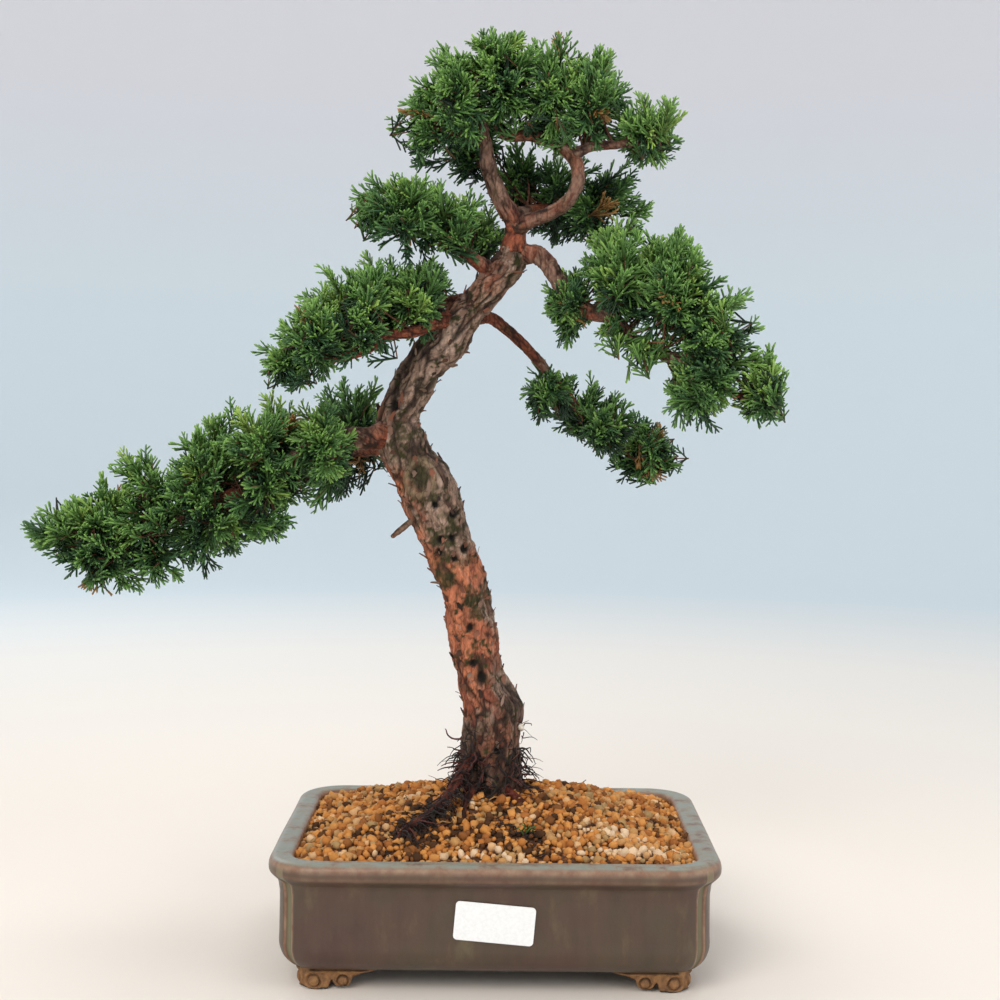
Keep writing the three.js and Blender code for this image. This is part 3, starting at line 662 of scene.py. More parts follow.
class BONSAI_OT_stage(bpy.types.Operator):
    """Makes the camera, the soft lights and a pale floor that curves up into a backdrop"""
    bl_idname = "bonsai.stage"
    bl_label = "Stage"

    def execute(self, context):
        scene = context.scene
        scene.view_settings.view_transform = "Standard"
        self.camera(scene)
        self.backdrop(scene.bonsai_stage)
        self.lights(scene)
        return {"FINISHED"}

    def camera(self, scene):
        look = Vector((0, math.cos(EYE_PITCH), -math.sin(EYE_PITCH)))
        right = Vector((1, 0, 0))
        up = right.cross(look)
        turned_right = right * math.cos(EYE_ROLL) + up * math.sin(EYE_ROLL)
        turned_up = up * math.cos(EYE_ROLL) - right * math.sin(EYE_ROLL)
        eye = Vector(POT_FOOT) + Vector(EYE_FROM_POT)
        data = bpy.data.cameras.new("bonsai_camera")
        data.lens = scene.bonsai_stage.lens
        data.sensor_width = 36
        data.clip_end = 20
        camera = bpy.data.objects.new("bonsai_camera", data)
        turn = Matrix((turned_right, turned_up, -look)).transposed().to_4x4()
        camera.matrix_world = Matrix.Translation(eye) @ turn
        scene.collection.objects.link(camera)
        scene.camera = camera

    def backdrop(self, settings):
        """A bowl round the object: flat, then a quarter round up to a wall, which glows more the higher it
        rises as painted light.
        """
        bend = WALL_RADIUS - FLOOR_RADIUS
        profile = [(0.02, 0), (FLOOR_RADIUS, 0)]
        profile += [(FLOOR_RADIUS + bend * math.sin(a), bend * (1 - math.cos(a)))
                    for a in np.linspace(0, math.pi / 2, 18)[1:]]
        profile.append((WALL_RADIUS, WALL_HEIGHT))
        angle = ring_angles(FLOOR_SIDES)
        points = [(r * math.cos(a), r * math.sin(a), z) for r, z in profile for a in angle]
        faces = [face[::-1] for face in skin_faces(len(profile), FLOOR_SIDES, capped=False)]
        faces.append(tuple(range(FLOOR_SIDES)))
        material, tree, shader = new_material(
            "backdrop_paper", Roughness=0.95, Specular_IOR_Level=0.0, Emission_Strength=1.0)
        height = add_node(tree, "ShaderNodeSeparateXYZ", {"Vector": object_place(tree)}).outputs["Z"]
        level = map_range(tree, height, 0.0, 2.1)
        away = add_node(tree, "ShaderNodeVectorMath", {0: object_place(tree, (1, 1, 0))}, operation="LENGTH")
        far = map_range(tree, away.outputs["Value"], 0.35, FLOOR_RADIUS, 0.0, 0.2)
        share = maths(tree, "ADD", level, far)
        tone = ramp(tree, share, [
            (0.0, settings.floor), (0.1, srgb(236, 233, 226)), (0.2, settings.sky), (0.42, settings.sky),
            (0.66, srgb(217, 216, 219)), (1.0, srgb(225, 220, 222))])
        tree.links.new(tone, shader.inputs["Base Color"])
        # Painted light: the backdrop glows, not at all on the floor and more and more up the wall
        glow = shaded(tree, tone, 1.0, share, (0.0, 0.0), (0.1, 0.05), (0.2, 0.17), (0.5, 0.21), (1.0, 0.26))
        tree.links.new(glow, shader.inputs["Emission Color"])
        floor = make_piece("floor", points, faces, material)

    def lights(self, scene):
        middle = Vector(((BOX_LOW + BOX_HIGH) / 2))
        key = scene.bonsai_stage.key
        for name, place, size, power, tint in (
            ("key_light", (-0.55, -1.25, 1.15), 1.1, key, (1.0, 0.985, 0.96)),
            ("fill_light", (1.3, -0.9, 0.7), 1.2, 0.45 * key, (0.93, 0.97, 1.0)),
            ("top_light", (0.1, 0.25, 1.75), 1.5, 0.75 * key, (0.96, 0.98, 1.0)),
            ("back_light", (-0.9, 1.3, 1.1), 1.0, 0.35 * key, (0.95, 0.98, 1.0)),
        ):
            data = bpy.data.lights.new(name, "AREA")
            data.shape = "DISK"
            data.size = size
            data.energy = power
            data.color = tint
            light = bpy.data.objects.new(name, data)
            light.location = place
            light.rotation_euler = (middle - Vector(place)).to_track_quat("-Z", "Y").to_euler()
            scene.collection.objects.link(light)
        world = bpy.data.worlds.new("soft_room")
        world.use_nodes = True
        world.node_tree.nodes["Background"].inputs["Color"].default_value = srgb(226, 232, 240)
        world.node_tree.nodes["Background"].inputs["Strength"].default_value = 0.4
        scene.world = world


# Pot

WALL = 7.0  # millimetres, as the rest of the pot's sizes
RIM_OVERHANG = 5.5
RIM_HEIGHT = 16.0
CORNER_RADIUS = 20.0
CORNER_STEP = 1.5
CORNER_SHARES = (0, 0.07, 0.14, 0.21, 0.28, 0.35, 0.4, 0.425, 0.44, 0.48, 0.52, 0.56, 0.575, 0.6, 0.65, 0.72,
                 0.79,
                 0.86, 0.93, 1)
STRIP_SHARE = 0.07
SIDE_STEPS, FRONT_STEPS = 14, 18  # points along half of a straight side
BASE_CURVE = 14.0
FLOOR_THICKNESS = 7.0
FOOT_HEIGHT = 10.0
FOOT_LENGTH = 39.0
FOOT_LOBE = 17.0
FOOT_SECOND = 27.0
FOOT_THICKNESS = 8.0
FOOT_INSET = 10.0
DRAIN_RADIUS = 7.0
DRAIN_X = 50.0
PROFILE_STEP = 1.3
LEG_RUNS, LEG_ROWS = 84, 26  # points along a leg and up it
POT_HEIGHT = (pot_high[2] - pot_low[2]) / MM
WALL_X = (pot_high[0] - pot_low[0]) / MM / 2 - RIM_OVERHANG
WALL_Y = (pot_high[1] - pot_low[1]) / MM / 2 - RIM_OVERHANG
RIM_START = POT_HEIGHT - RIM_HEIGHT
FLOOR_TOP = FOOT_HEIGHT + FLOOR_THICKNESS


def pot_outline(offset, step_back):
    """The pot seen from above, in millimetres, moved out from its sides by offset, and how far each point is
    in a corner's set-back strip."""
    half_x, half_y, radius = WALL_X + offset, WALL_Y + offset, CORNER_RADIUS + offset
    quarter = [(half_x, y, 0.0) for y in np.linspace(0, half_y - radius, SIDE_STEPS)[:-1]]
    for share in CORNER_SHARES:
        strip = 1.0 - float(smoothstep(STRIP_SHARE - 0.005, STRIP_SHARE + 0.01, abs(share - 0.5)))
        reach, angle = radius - step_back * strip, share * math.pi / 2
        quarter.append((half_x - radius + reach * math.cos(angle), half_y - radius + reach * math.sin(angle),
                        strip))
    quarter += [(x, half_y, 0.0) for x in np.linspace(half_x - radius, 0, FRONT_STEPS)[1:]]
    quarter = np.array(quarter)
    flipped = quarter[::-1]
    return np.vstack([quarter[:-1], (flipped * (-1, 1, 1))[:-1], (quarter * (-1, -1, 1))[:-1],
                      (flipped * (1, -1, 1))[:-1]])


class BONSAI_OT_pot(bpy.types.Operator):
    """Makes the glazed pot with its rim, set-back corners and scrolled corner feet"""
    bl_idname = "bonsai.pot"
    bl_label = "Pot"

    def execute(self, context):
        settings = context.scene.bonsai_pot
        glaze = self.glaze(settings)
        bare = self.bare_clay(settings)
        pot = self.shell(glaze)
        settle(pot, "pot_glaze", "pot")
        feet = self.feet(bare)
        settle(feet, "pot_glaze")
        return {"FINISHED"}

    def shell(self, glaze):
        """Outside up from the base, over the rim and down inside; rim, edge and corner masks are painted."""
        top, base, rim = POT_HEIGHT, FOOT_HEIGHT, RIM_START
        profile = smooth_path([  # offset, corner step, height, rim mask, edge mask
            (-BASE_CURVE - 20, 0, base, 0, 0), (-BASE_CURVE, 0, base, 0, 0),
            (-0.5 * BASE_CURVE, 0.5, base + 0.1 * BASE_CURVE, 0, 0),
            (-0.15 * BASE_CURVE, 1, base + 0.4 * BASE_CURVE, 0, 0),
            (0, 1, base + 0.8 * BASE_CURVE, 0, 0), (0, 1, base + 18, 0, 0), (0, 1, rim - 2, 0, 0),
            (0.05 * RIM_OVERHANG, 1, rim, 0, 0.2), (0.2 * RIM_OVERHANG, 1, rim + 0.25 * RIM_HEIGHT, 0.1, 0),
            (0.62 * RIM_OVERHANG, 0.5, rim + 0.4 * RIM_HEIGHT, 0.1, 0),
            (0.95 * RIM_OVERHANG, 0, rim + 0.53 * RIM_HEIGHT, 0.15, 0.6),
            (RIM_OVERHANG, 0, rim + 0.7 * RIM_HEIGHT, 0.35, 0.5),
            (0.85 * RIM_OVERHANG, 0, rim + 0.9 * RIM_HEIGHT, 0.55, 0.9), (0.4 * RIM_OVERHANG, 0, top, 1, 0.1),
            (-0.3 * WALL, 0, top, 1, 0), (-0.75 * WALL, 0, top - 0.25, 0.9, 0.5),
            (-0.95 * WALL, 0, top - 1.6, 0.35, 1),
            (-WALL, 0, top - 6, 0.05, 0.2), (-WALL, 0, FLOOR_TOP + 3, 0, 0), (-WALL - 4, 0, FLOOR_TOP, 0, 0),
            (-WALL - 30, 0, FLOOR_TOP, 0, 0),
        ], PROFILE_STEP)
        rings, masks = [], []
        for offset, step, height, rim_mask, edge in profile:
            outline = pot_outline(max(offset, 1.0 - CORNER_RADIUS), min(max(step, 0), 1) * CORNER_STEP)
            if offset < 1.0 - CORNER_RADIUS:
                outline = outline * (1 + (offset + CORNER_RADIUS - 1) / WALL_X,
                                     1 + (offset + CORNER_RADIUS - 1) / WALL_Y, 1)
            corner = outline[:, 2]
            beside = np.maximum(np.roll(corner, 1), np.roll(corner, -1))
            seam = np.where((beside > 0) & (corner < 1), 1.0, 0.0) * min(max(step, 0), 1) * 0.9
            rings.append(np.column_stack([outline[:, :2], np.full(len(outline), height)]))
            masks.append(np.column_stack([np.full(len(outline), rim_mask), np.maximum(seam, edge), corner,
                                          np.ones(len(outline))]))
        count = len(rings[0])
        points = np.vstack(rings + [[(0, 0, FOOT_HEIGHT)], [(0, 0, FLOOR_TOP)]])
        masks = np.vstack(masks + [[(0, 0, 0, 1)], [(0, 0, 0, 1)]])
        for i, point in enumerate(points[:-2]):  # the hand-made sides aren't quite flat
            wobble = noise.noise(Vector(point * 0.02)) * 0.5
            points[i, :2] -= unit(point[:2]) * (0.25 + 0.5 * wobble)
        faces = skin_faces(len(rings), count)
        points = points * MM + POT_FOOT
        pot = make_piece("glazed_pot", points, faces, glaze)
        paint(pot, "masks", masks)
        for side in (-1, 1):
            self.drain(pot, side)
        return pot

    def drain(self, pot, side):
        """Cuts a drain hole."""
        points, faces = tube([(side * DRAIN_X, 0, FOOT_HEIGHT - 4), (side * DRAIN_X, 0, FLOOR_TOP + 4)],
                             DRAIN_RADIUS, 32)
        cutter = make_piece("drain_cutter", points * MM + POT_FOOT, faces)
        cut = pot.modifiers.new("drain", "BOOLEAN")
        cut.operation = "DIFFERENCE"
        cut.object = cutter
        cut.solver = "EXACT"
        graph = bpy.context.evaluated_depsgraph_get()
        mesh = bpy.data.meshes.new_from_object(pot.evaluated_get(graph), preserve_all_data_layers=True,
                                               depsgraph=graph)
        pot.modifiers.clear()
        pot.data = mesh
        bpy.data.objects.remove(cutter)

    def feet(self, bare):
        """Four feet, each of two legs that meet round the pot's corner."""
        parts = []
        for sx in (-1, 1):
            for sy in (-1, 1):
                for swap in (False, True):
                    points, faces = self.leg()
                    x, y = (points[:, 1], points[:, 0]) if swap else (points[:, 0], points[:, 1])
                    placed = np.column_stack([
                        sx * (WALL_X - FOOT_INSET - x), sy * (WALL_Y - FOOT_INSET - y), points[:, 2]])
                    if (sx * sy < 0) != swap:
                        faces = [face[::-1] for face in faces]
                    parts.append((placed * MM + POT_FOOT, faces))
        points, faces = join_parts(parts)
        return make_piece("scrolled_feet", points, faces, bare)

    def leg(self):
        """One leg, from the middle of the rounded corner along X: x and y in from the corner, z up."""
        bend = CORNER_RADIUS - FOOT_INSET
        start = bend * (1 - math.cos(math.pi / 4))
        runs, heights = np.linspace(start, FOOT_LENGTH, LEG_RUNS), np.linspace(0, 1, LEG_ROWS)
        front = []
        for x in runs:
            low = self.lower_edge(x)
            inside = bend - math.sqrt(max(bend ** 2 - max(bend - x, 0) ** 2, 0))
            lean = Vector((max(bend - x, 0), bend - inside)).normalized() if x < bend else Vector((0, 1))
            for share in heights:
                z = low + (FOOT_HEIGHT + 2 - low) * share
                round_off = 1.6 * max(0, 1 - (z - low) / 1.8) ** 2 + 1.2 * max(0, 1
                                                                               - (FOOT_LENGTH - x) / 1.5) ** 2
                depth = round_off - self.scrolls(x, z)
                front.append((x + lean.x * depth, inside + lean.y * depth, z))
        back = []
        for x in runs:
            low = self.lower_edge(x)
            back_y = FOOT_THICKNESS + 1.2
            for share in heights:
                back.append((max(x, back_y * 0.999 if x < back_y else x), back_y,
                             low + (FOOT_HEIGHT + 2 - low) * share))
        rows, columns = len(runs), len(heights)
        faces = []
        for i in range(rows - 1):
            for j in range(columns - 1):
                a, b, c, d = (i * columns + j, (i + 1) * columns + j, (i + 1) * columns + j + 1,
                              i * columns + j + 1)
                faces.append((a, d, c, b))
                other = rows * columns
                faces.append((a + other, b + other, c + other, d + other))
            a, b = i * columns, (i + 1) * columns
            faces.append((a, b, b + other, a + other))
            a, b = a + columns - 1, b + columns - 1
            faces.append((a, a + other, b + other, b))
        for i, flip in ((0, False), (rows - 1, True)):
            for j in range(columns - 1):
                a = i * columns + j
                face = (a, a + other, a + 1 + other, a + 1)
                faces.append(face[::-1] if flip else face)
        return np.array(front + back), faces

    def lower_edge(self, x):
        """Height of a leg's lower edge: a broad lobe, a notch, a raised lobe, then a thin bracket."""
        if x < FOOT_LOBE:
            return 0.45 * FOOT_HEIGHT * float(smoothstep(0.84 * FOOT_LOBE, FOOT_LOBE, x)) ** 1.6
        if x < FOOT_SECOND:
            share = (x - FOOT_LOBE) / (FOOT_SECOND - FOOT_LOBE)
            return FOOT_HEIGHT * (0.17 + 0.33 * abs(2 * share - 1) ** 4)
        return FOOT_HEIGHT * (0.6 + 0.4 * ((x - FOOT_SECOND) / (FOOT_LENGTH - FOOT_SECOND)) ** 0.8)

    def scrolls(self, x, z):
        """How far a leg's front stands out at a place: two round bosses ringed by a coil, under a ledge."""
        stand = 0.9 * math.exp(-((z - 9.3) / 0.7) ** 2) if x > 6 else 0.0
        for middle_x, middle_z, radius, way in ((8.2, 4.6, 4.4, 1), (22.6, 4.9, 3.7, -1)):
            reach = math.hypot(x - middle_x, z - middle_z)
            if reach > 1.3 * radius:
                continue
            turn = (math.atan2(z - middle_z, (x - middle_x) * way) / (math.tau)) % 1.0
            boss = max(0.0, 1 - (reach / (0.62 * radius)) ** 2) ** 0.5
            groove = math.exp(-((reach / radius - 0.66 - 0.12 * turn) / 0.09) ** 2)
            rim = math.exp(-((reach / radius - 0.95 - 0.1 * turn) / 0.16) ** 2)
            stand += 1.1 * boss + 0.8 * rim - 0.9 * groove
        return stand

    def glaze(self, settings):
        """Mottled satin glaze that runs under the rim, pools pale on top of it and breaks brown at edges."""
        material, tree, shader = new_material(
            "satin_glaze", Roughness=0.42, Specular_IOR_Level=0.35, Coat_Weight=0.12, Coat_Roughness=0.12)
        place = object_place(tree)
        masks = add_node(tree, "ShaderNodeVertexColor", layer_name="masks")
        parts = add_node(tree, "ShaderNodeSeparateColor", {"Color": output(masks)}).outputs
        body = ramp(tree, noise_field(tree, object_place(tree, (1, 1, 0.45)), 55.0, 6.0, 0.62), [
            (0.3, srgb(64, 46, 38)), (0.45, srgb(76, 58, 47)), (0.56, settings.glaze),
            (0.68, srgb(98, 84, 62)),
            (0.8, srgb(96, 72, 66))])
        runs = noise_field(tree, object_place(tree, (1, 1, 0.12)), 150.0, 4.0, 0.6)
        body = shaded(tree, body, 0.75, runs, (0.38, 0.82), (0.55, 1.0), (0.74, 1.12))
        mist = ramp(tree, noise_field(tree, place, 22.0, 3.0),
                    [(0.4, srgb(92, 66, 60)), (0.65, srgb(88, 86, 64))])
        body = blend_colours(tree, 0.28, body, mist)
        corner = blend_colours(tree, noise_field(tree, object_place(tree, (1, 1, 0.3)), 90.0, 4.0),
                               settings.corner, srgb(104, 92, 68))
        body = blend_colours(tree, self.share(tree, parts["Blue"], 0.35, 1.0, 0.8), body, corner)
        rim = ramp(tree, noise_field(tree, place, 75.0, 6.0, 0.65), [
            (0.36, srgb(118, 94, 78)), (0.46, srgb(144, 134, 116)), (0.54, settings.rim),
            (0.64, srgb(134, 140, 128)),
            (0.74, srgb(176, 158, 134))])
        body = blend_colours(tree, self.share(tree, parts["Red"], 0.25, 0.95, 0.9), body, rim)
        worn = ramp(tree, noise_field(tree, place, 160.0, 4.0),
                    [(0.35, srgb(138, 92, 68)), (0.7, srgb(172, 140, 112))])
        body = blend_colours(tree, self.share(tree, parts["Green"], 0.35, 1.0, 0.75), body, worn)
        tree.links.new(body, shader.inputs["Base Color"])
        dents = noise_field(tree, place, 130.0, 5.0, 0.6)
        raise_surface(tree, shader, dents, 0.9 * MM, 0.35)
        return material

    def share(self, tree, value, low, high, most):
        """A mask stretched from low to high and scaled to its most."""
        return map_range(tree, value, low, high, 0.0, most, "SMOOTHSTEP")

    def bare_clay(self, settings):
        """Unglazed clay, with painted shade darkening its hollows."""
        material, tree, shader = new_material("bare_clay", Roughness=0.72)
        place = object_place(tree)
        tone = ramp(tree, noise_field(tree, place, 260.0, 5.0, 0.65), [
            (0.3, srgb(88, 62, 40)), (0.52, settings.clay), (0.78, srgb(172, 128, 78))])
        # Painted shade: ambient occlusion darkens the clay in the feet's hollows and creases
        occlusion_shade = add_node(tree, "ShaderNodeAmbientOcclusion", {"Distance": 2.5 * MM}, samples=8)
        dark = ramp(tree, output(occlusion_shade, "AO"), [(0.25, srgb(64, 46, 30)), (0.8, grey(1.0))])
        tone = blend_colours(tree, 1.0, tone, dark, "MULTIPLY")
        tree.links.new(tone, shader.inputs["Base Color"])
        raise_surface(tree, shader, noise_field(tree, place, 900.0, 4.0), 0.4 * MM, 0.5)
        return material


class BONSAI_OT_fittings(bpy.types.Operator):
    """Gives the blank label, the drain screens and their wire clips their materials"""
    bl_idname = "bonsai.fittings"
    bl_label = "Label, screens and clips"

    def execute(self, context):
        for name, look, (scale, detail, along), dark, light, nodes in (
            ("label_paper", {"Roughness": 0.42}, (600.0, 4.0, 1), (238, 238, 236), (248, 248, 247),
             ("blank_label",)),
            ("screen_plastic", {"Roughness": 0.55}, (900.0, 3.0, 1), (22, 23, 24), (38, 39, 40),
             ("drain_screen_left", "drain_screen_right")),
            ("clip_wire", {"Roughness": 0.38, "Metallic": 1.0}, (800.0, 3.0, 0.2), (150, 153, 157),
             (196, 198, 202), ("drain_clip_left", "drain_clip_right")),
        ):
            material, tree, shader = new_material(name, **look)
            grain = noise_field(tree, object_place(tree, (1, 1, along)), scale, detail)
            tone = ramp(tree, grain, [(0.3, srgb(*dark)), (0.7, srgb(*light))])
            tree.links.new(tone, shader.inputs["Base Color"])
            for node in nodes:
                for slot in frame["nodes"][node].material_slots:
                    slot.material = material
        return {"FINISHED"}


# Soil

SOIL_WALL = -7.3  # out from the pot's sides, millimetres
SOIL_BELOW_RIM = 3.0
MOUND_RISE = 25.0
MOUND_POWER = 1.3
BED_DEPTH = 2.2  # the dark bed lies this far under the tops of the granules
GRANULE_KINDS = 6
LITTER_COUNT = 150
LITTER_REACH = (92, 64)  # to the sides and to the front, millimetres
SPROUT_PLACE = (14, -49, 0)
SPROUT_BLADES = 9
# Where pale granules gather and where old soil shows: x, y and radius from the pot's middle, millimetres
PALE_SPOTS = [(-11, -64, 7), (4, -66, 6), (16, -68, 7), (66, -54, 9), (54, -42, 9), (-11, -14, 8),
              (46, -60, 7),
              (72, -62, 7)]
DARK_SPOTS = [(-43, -38, 15), (-1, -42, 9), (14, -49, 9), (23, -64, 6), (-30, -30, 9), (-36, -44, 10)]


class BONSAI_OT_soil(bpy.types.Operator):
    """Fills the pot with loose clay granules, heaped up to the trunk"""
    bl_idname = "bonsai.soil"
    bl_label = "Soil"

    def execute(self, context):
        settings = context.scene.bonsai_soil
        granule_material = self.granule_material(settings)
        bed = self.bed(self.bed_material(), "soil_bed", None)
        settle(bed, "soil", "soil_mound")
        shapes = self.granule_shapes()
        tree = self.scatter_tree(shapes)
        for name, part, seed in (("soil_granules_front", -1, 11), ("soil_granules_back", 1, 12)):
            carrier = self.bed(None, "carrier", part)
            granules = grown(name, carrier, tree, {
                "Spacing": settings.spacing, "Smallest": settings.smallest, "Largest": settings.largest,
                "Seed": seed, "Material": granule_material})
            settle(granules, "soil")
        clear_shapes(shapes)
        settle(self.litter(), "root_bark")
        settle(self.sprout(), "foliage")
        return {"FINISHED"}

    def height(self, share):
        return POT_HEIGHT - SOIL_BELOW_RIM + MOUND_RISE * (1 - share ** MOUND_POWER) - BED_DEPTH

    def bed(self, material, name, part):
        """The bed's skin, or the front or back half of it with how pale its granules are."""
        edge = pot_outline(SOIL_WALL, 0)[:, :2]
        foot = np.array([TRUNK_X, TRUNK_Y])
        shares = np.linspace(1, 0.05, 56)
        rings = []
        for share in shares:
            ring = foot + (edge - foot) * share
            rings.append(np.column_stack([ring, np.full(len(ring), self.height(share))]))
        points = np.vstack(rings + [[(*foot, self.height(0.05))]])
        for i, (x, y, _) in enumerate(points):
            points[i, 2] += 1.1 * noise.noise(Vector((x / 9, y / 9, 3.0))) + 0.5 * noise.noise(
                Vector((x / 3, y / 3, 8.0)))
        count = len(edge)
        faces = skin_faces(len(rings), count, capped=False)
        last = (len(rings) - 1) * count
        faces += [(last + k, last + (k + 1) % count, len(points) - 1) for k in range(count)]
        if part is not None:
            faces = [face for face in faces
                     if (np.mean([points[i, 1] for i in face]) < TRUNK_Y) == (part < 0)]
            used = sorted({i for face in faces for i in face})
            index = {old: new for new, old in enumerate(used)}
            faces = [tuple(index[i] for i in face) for face in faces]
            points = points[used]
        bed = make_piece(name, points * MM + POT_FOOT, faces, material)
        if part is not None:
            store(bed, "pale", "FLOAT", [self.paleness(x, y) for x, y, _ in points])
        return bed

    def paleness(self, x, y):
        """Above 0 where pale granules gather, below 0 over old dark soil."""
        pale = 0.25 * noise.noise(Vector((x / 14, y / 14, 0.5)))
        for spots, sign in ((PALE_SPOTS, 0.42), (DARK_SPOTS, -0.36)):
            for spot_x, spot_y, radius in spots:
                pale += sign * math.exp(-((x - spot_x) ** 2 + (y - spot_y) ** 2) / radius ** 2)
        ring = math.hypot(x - TRUNK_X, y - TRUNK_Y)
        return pale - 0.35 * math.exp(-(ring / 26) ** 2)

    def granule_shapes(self):
        """Rough lumps: a cube with a point on each edge and face, pushed in and out."""
        shapes = []
        for variant in range(GRANULE_KINDS):
            numbers = random.Random(50 + variant)
            index, points = {}, []
            for i in (-1, 0, 1):
                for j in (-1, 0, 1):
                    for k in (-1, 0, 1):
                        if (i, j, k) != (0, 0, 0):
                            index[(i, j, k)] = len(points)
                            lump = Vector((i, j, k))
                            lump = lump.normalized() * 0.6 + lump * 0.4
                            points.append(lump * 0.46 * numbers.uniform(0.7, 1.08))
            faces = []
            for axis in range(3):
                for sign in (-1, 1):
                    for a in (-1, 0):
                        for b in (-1, 0):
                            corner = []
                            for da, db in ((0, 0), (1, 0), (1, 1), (0, 1)):
                                place = [0, 0, 0]
                                place[axis] = sign
                                place[(axis + 1) % 3] = a + da
                                place[(axis + 2) % 3] = b + db
                                corner.append(index[tuple(place)])
                            faces.append(tuple(corner) if sign > 0 else tuple(corner[::-1]))
            # The second palette place runs with each granule's own height, for painted shade low on it and
            # painted light high on it
            places = [(0.012 * p.x + 0.006 * p.y, 0.5 + 0.9 * p.z * 0.5 + 0.1 * p.y) for p in points]
            shapes.append((points, faces, places))
        return shape_collection("granules", shapes)

    def scatter_tree(self, shapes):
        tree, given = new_tree("granule_scatter", {
            "Spacing": "Float", "Smallest": "Float", "Largest": "Float", "Seed": "Int",
            "Material": "Material"})
        spread = output(spread_points(tree, given, 9.0e5), "Points")
        chance = random_value(tree, "FLOAT", 0.0, 0.88, given["Seed"])
        tone = maths(tree, "ADD", chance, named_value(tree, "pale"))
        held = add_node(tree, "ShaderNodeClamp", {"Value": tone, "Min": 0.02, "Max": 0.98})
        lift = random_value(tree, "FLOAT_VECTOR", (0.0, 0.0, -0.6 * MM), (0.0, 0.0, 1.9 * MM))
        lifted = add_node(tree, "GeometryNodeSetPosition", {
            "Geometry": with_value(tree, spread, "shade", output(held)), "Offset": lift})
        turn = random_value(tree, "FLOAT_VECTOR", (0.0, 0.0, 0.0), (6.28, 6.28, 6.28))
        turned = add_node(tree, "FunctionNodeEulerToRotation", {"Euler": turn})
        skewed = maths(tree, "POWER", random_value(tree, "FLOAT", 0.0, 1.0, 5), 1.7)
        sized = map_range(tree, skewed, 0.0, 1.0, given["Smallest"], given["Largest"])
        squash = random_value(tree, "FLOAT_VECTOR", (0.8, 0.75, 0.65), (1.25, 1.1, 0.95), 9)
        scale = add_node(tree, "ShaderNodeVectorMath", {0: squash, "Scale": sized}, operation="SCALE")
        choice = random_value(tree, "INT", 0, GRANULE_KINDS - 1, 3)
        instances = pick_shapes(tree, output(lifted), shapes, output(turned), output(scale), choice)
        finish_tree(tree, instances, given["Material"])
        return tree

    def granule_material(self, settings):
        material, tree, shader = new_material("clay_granules", Roughness=0.92, Specular_IOR_Level=0.25)
        place = palette_place(tree)
        tone = ramp(tree, place["X"], [
            (0.0, srgb(60, 40, 24)), (0.1, srgb(126, 80, 42)), (0.24, srgb(182, 112, 54)),
            (0.42, settings.clay),
            (0.58, srgb(222, 154, 84)), (0.7, srgb(172, 140, 94)), (0.8, srgb(208, 150, 88)),
            (0.9, srgb(232, 192, 144)), (1.0, settings.pumice)])
        # Painted shade and light: each granule darker on its own lower side and a little lighter on its upper
        # side
        tone = shaded(tree, tone, 1.0, place["Y"], (0.0, 0.62), (0.45, 0.92), (1.0, 1.08))
        tree.links.new(tone, shader.inputs["Base Color"])
        return material

    def bed_material(self):
        material, tree, shader = new_material("soil_bed", Roughness=0.95)
        tone = ramp(tree, noise_field(tree, object_place(tree), 420.0, 6.0, 0.7), [
            (0.3, srgb(38, 26, 18)), (0.5, srgb(84, 54, 34)), (0.7, srgb(124, 80, 48))])
        tree.links.new(tone, shader.inputs["Base Color"])
        raise_surface(tree, shader, noise_field(tree, object_place(tree), 700.0, 5.0), 1.5 * MM, 0.9)
        return material

    def litter(self):
        """Bits of dark old root and straw-coloured bark lying on the soil."""
        numbers = random.Random(21)
        parts = []
        for _ in range(LITTER_COUNT):
            angle, reach = numbers.uniform(0, math.tau), numbers.uniform(0.1, 0.95) ** 0.8
            near_dark = numbers.random() < 0.55
            if near_dark:
                spot_x, spot_y, radius = numbers.choice(DARK_SPOTS)
                x, y = spot_x + numbers.gauss(0, 0.6) * radius, spot_y + numbers.gauss(0, 0.6) * radius
            else:
                x = TRUNK_X + LITTER_REACH[0] * reach * math.cos(angle)
                y = TRUNK_Y + LITTER_REACH[1] * reach * math.sin(angle)
            share = max(abs(x - TRUNK_X) / (WALL_X - WALL), abs(y - TRUNK_Y) / (WALL_Y - WALL))
            if share > 0.93:
                continue
            z = self.height(share) + BED_DEPTH + 0.3
            heading, length = numbers.uniform(0, math.tau), numbers.uniform(4, 13)
            line = [(x + t * length * math.cos(heading), y + t * length * math.sin(heading),
                     z + numbers.uniform(-0.6, 1.2) + 0.6 * math.sin(t * 3)) for t in (-0.5, -0.15, 0.2, 0.5)]
            line = POT_FOOT + np.array(line) * MM
            points, faces = tube(line, numbers.uniform(0.25, 0.6) * MM, 5, 0.5)
            tone = srgb(44, 32, 24) if near_dark or numbers.random() < 0.4 else srgb(186, 140, 84)
            parts.append((points, faces, tone))
        return painted_piece("soil_litter", parts, painted_material("litter", "litter_tone", 0.9),
                             "litter_tone")

    def sprout(self):
        """A little green seedling in front of the trunk."""
        numbers = random.Random(5)
        parts = []
        middle = POT_FOOT + np.array(SPROUT_PLACE) * MM
        ground = self.height(0.62) + BED_DEPTH
        for k in range(SPROUT_BLADES):
            angle = numbers.uniform(0, math.tau)
            root = np.array([numbers.gauss(0, 2.2), numbers.gauss(0, 2.2), ground - 0.5])
            reach = numbers.uniform(2, 5)
            top = root + (reach * math.cos(angle), reach * math.sin(angle), numbers.uniform(2, 5))
            points, faces = tube(middle + np.array([root, (root + top) / 2 + (0, 0, 0.8), top]) * MM,
                                 0.45 * MM, 4, 0.4)
            parts.append((points, faces, srgb(62, 88, 36) if k % 3 else srgb(86, 112, 46)))
        return painted_piece("soil_sprout", parts, painted_material("sprout", "sprout_tone", 0.6),
                             "sprout_tone")


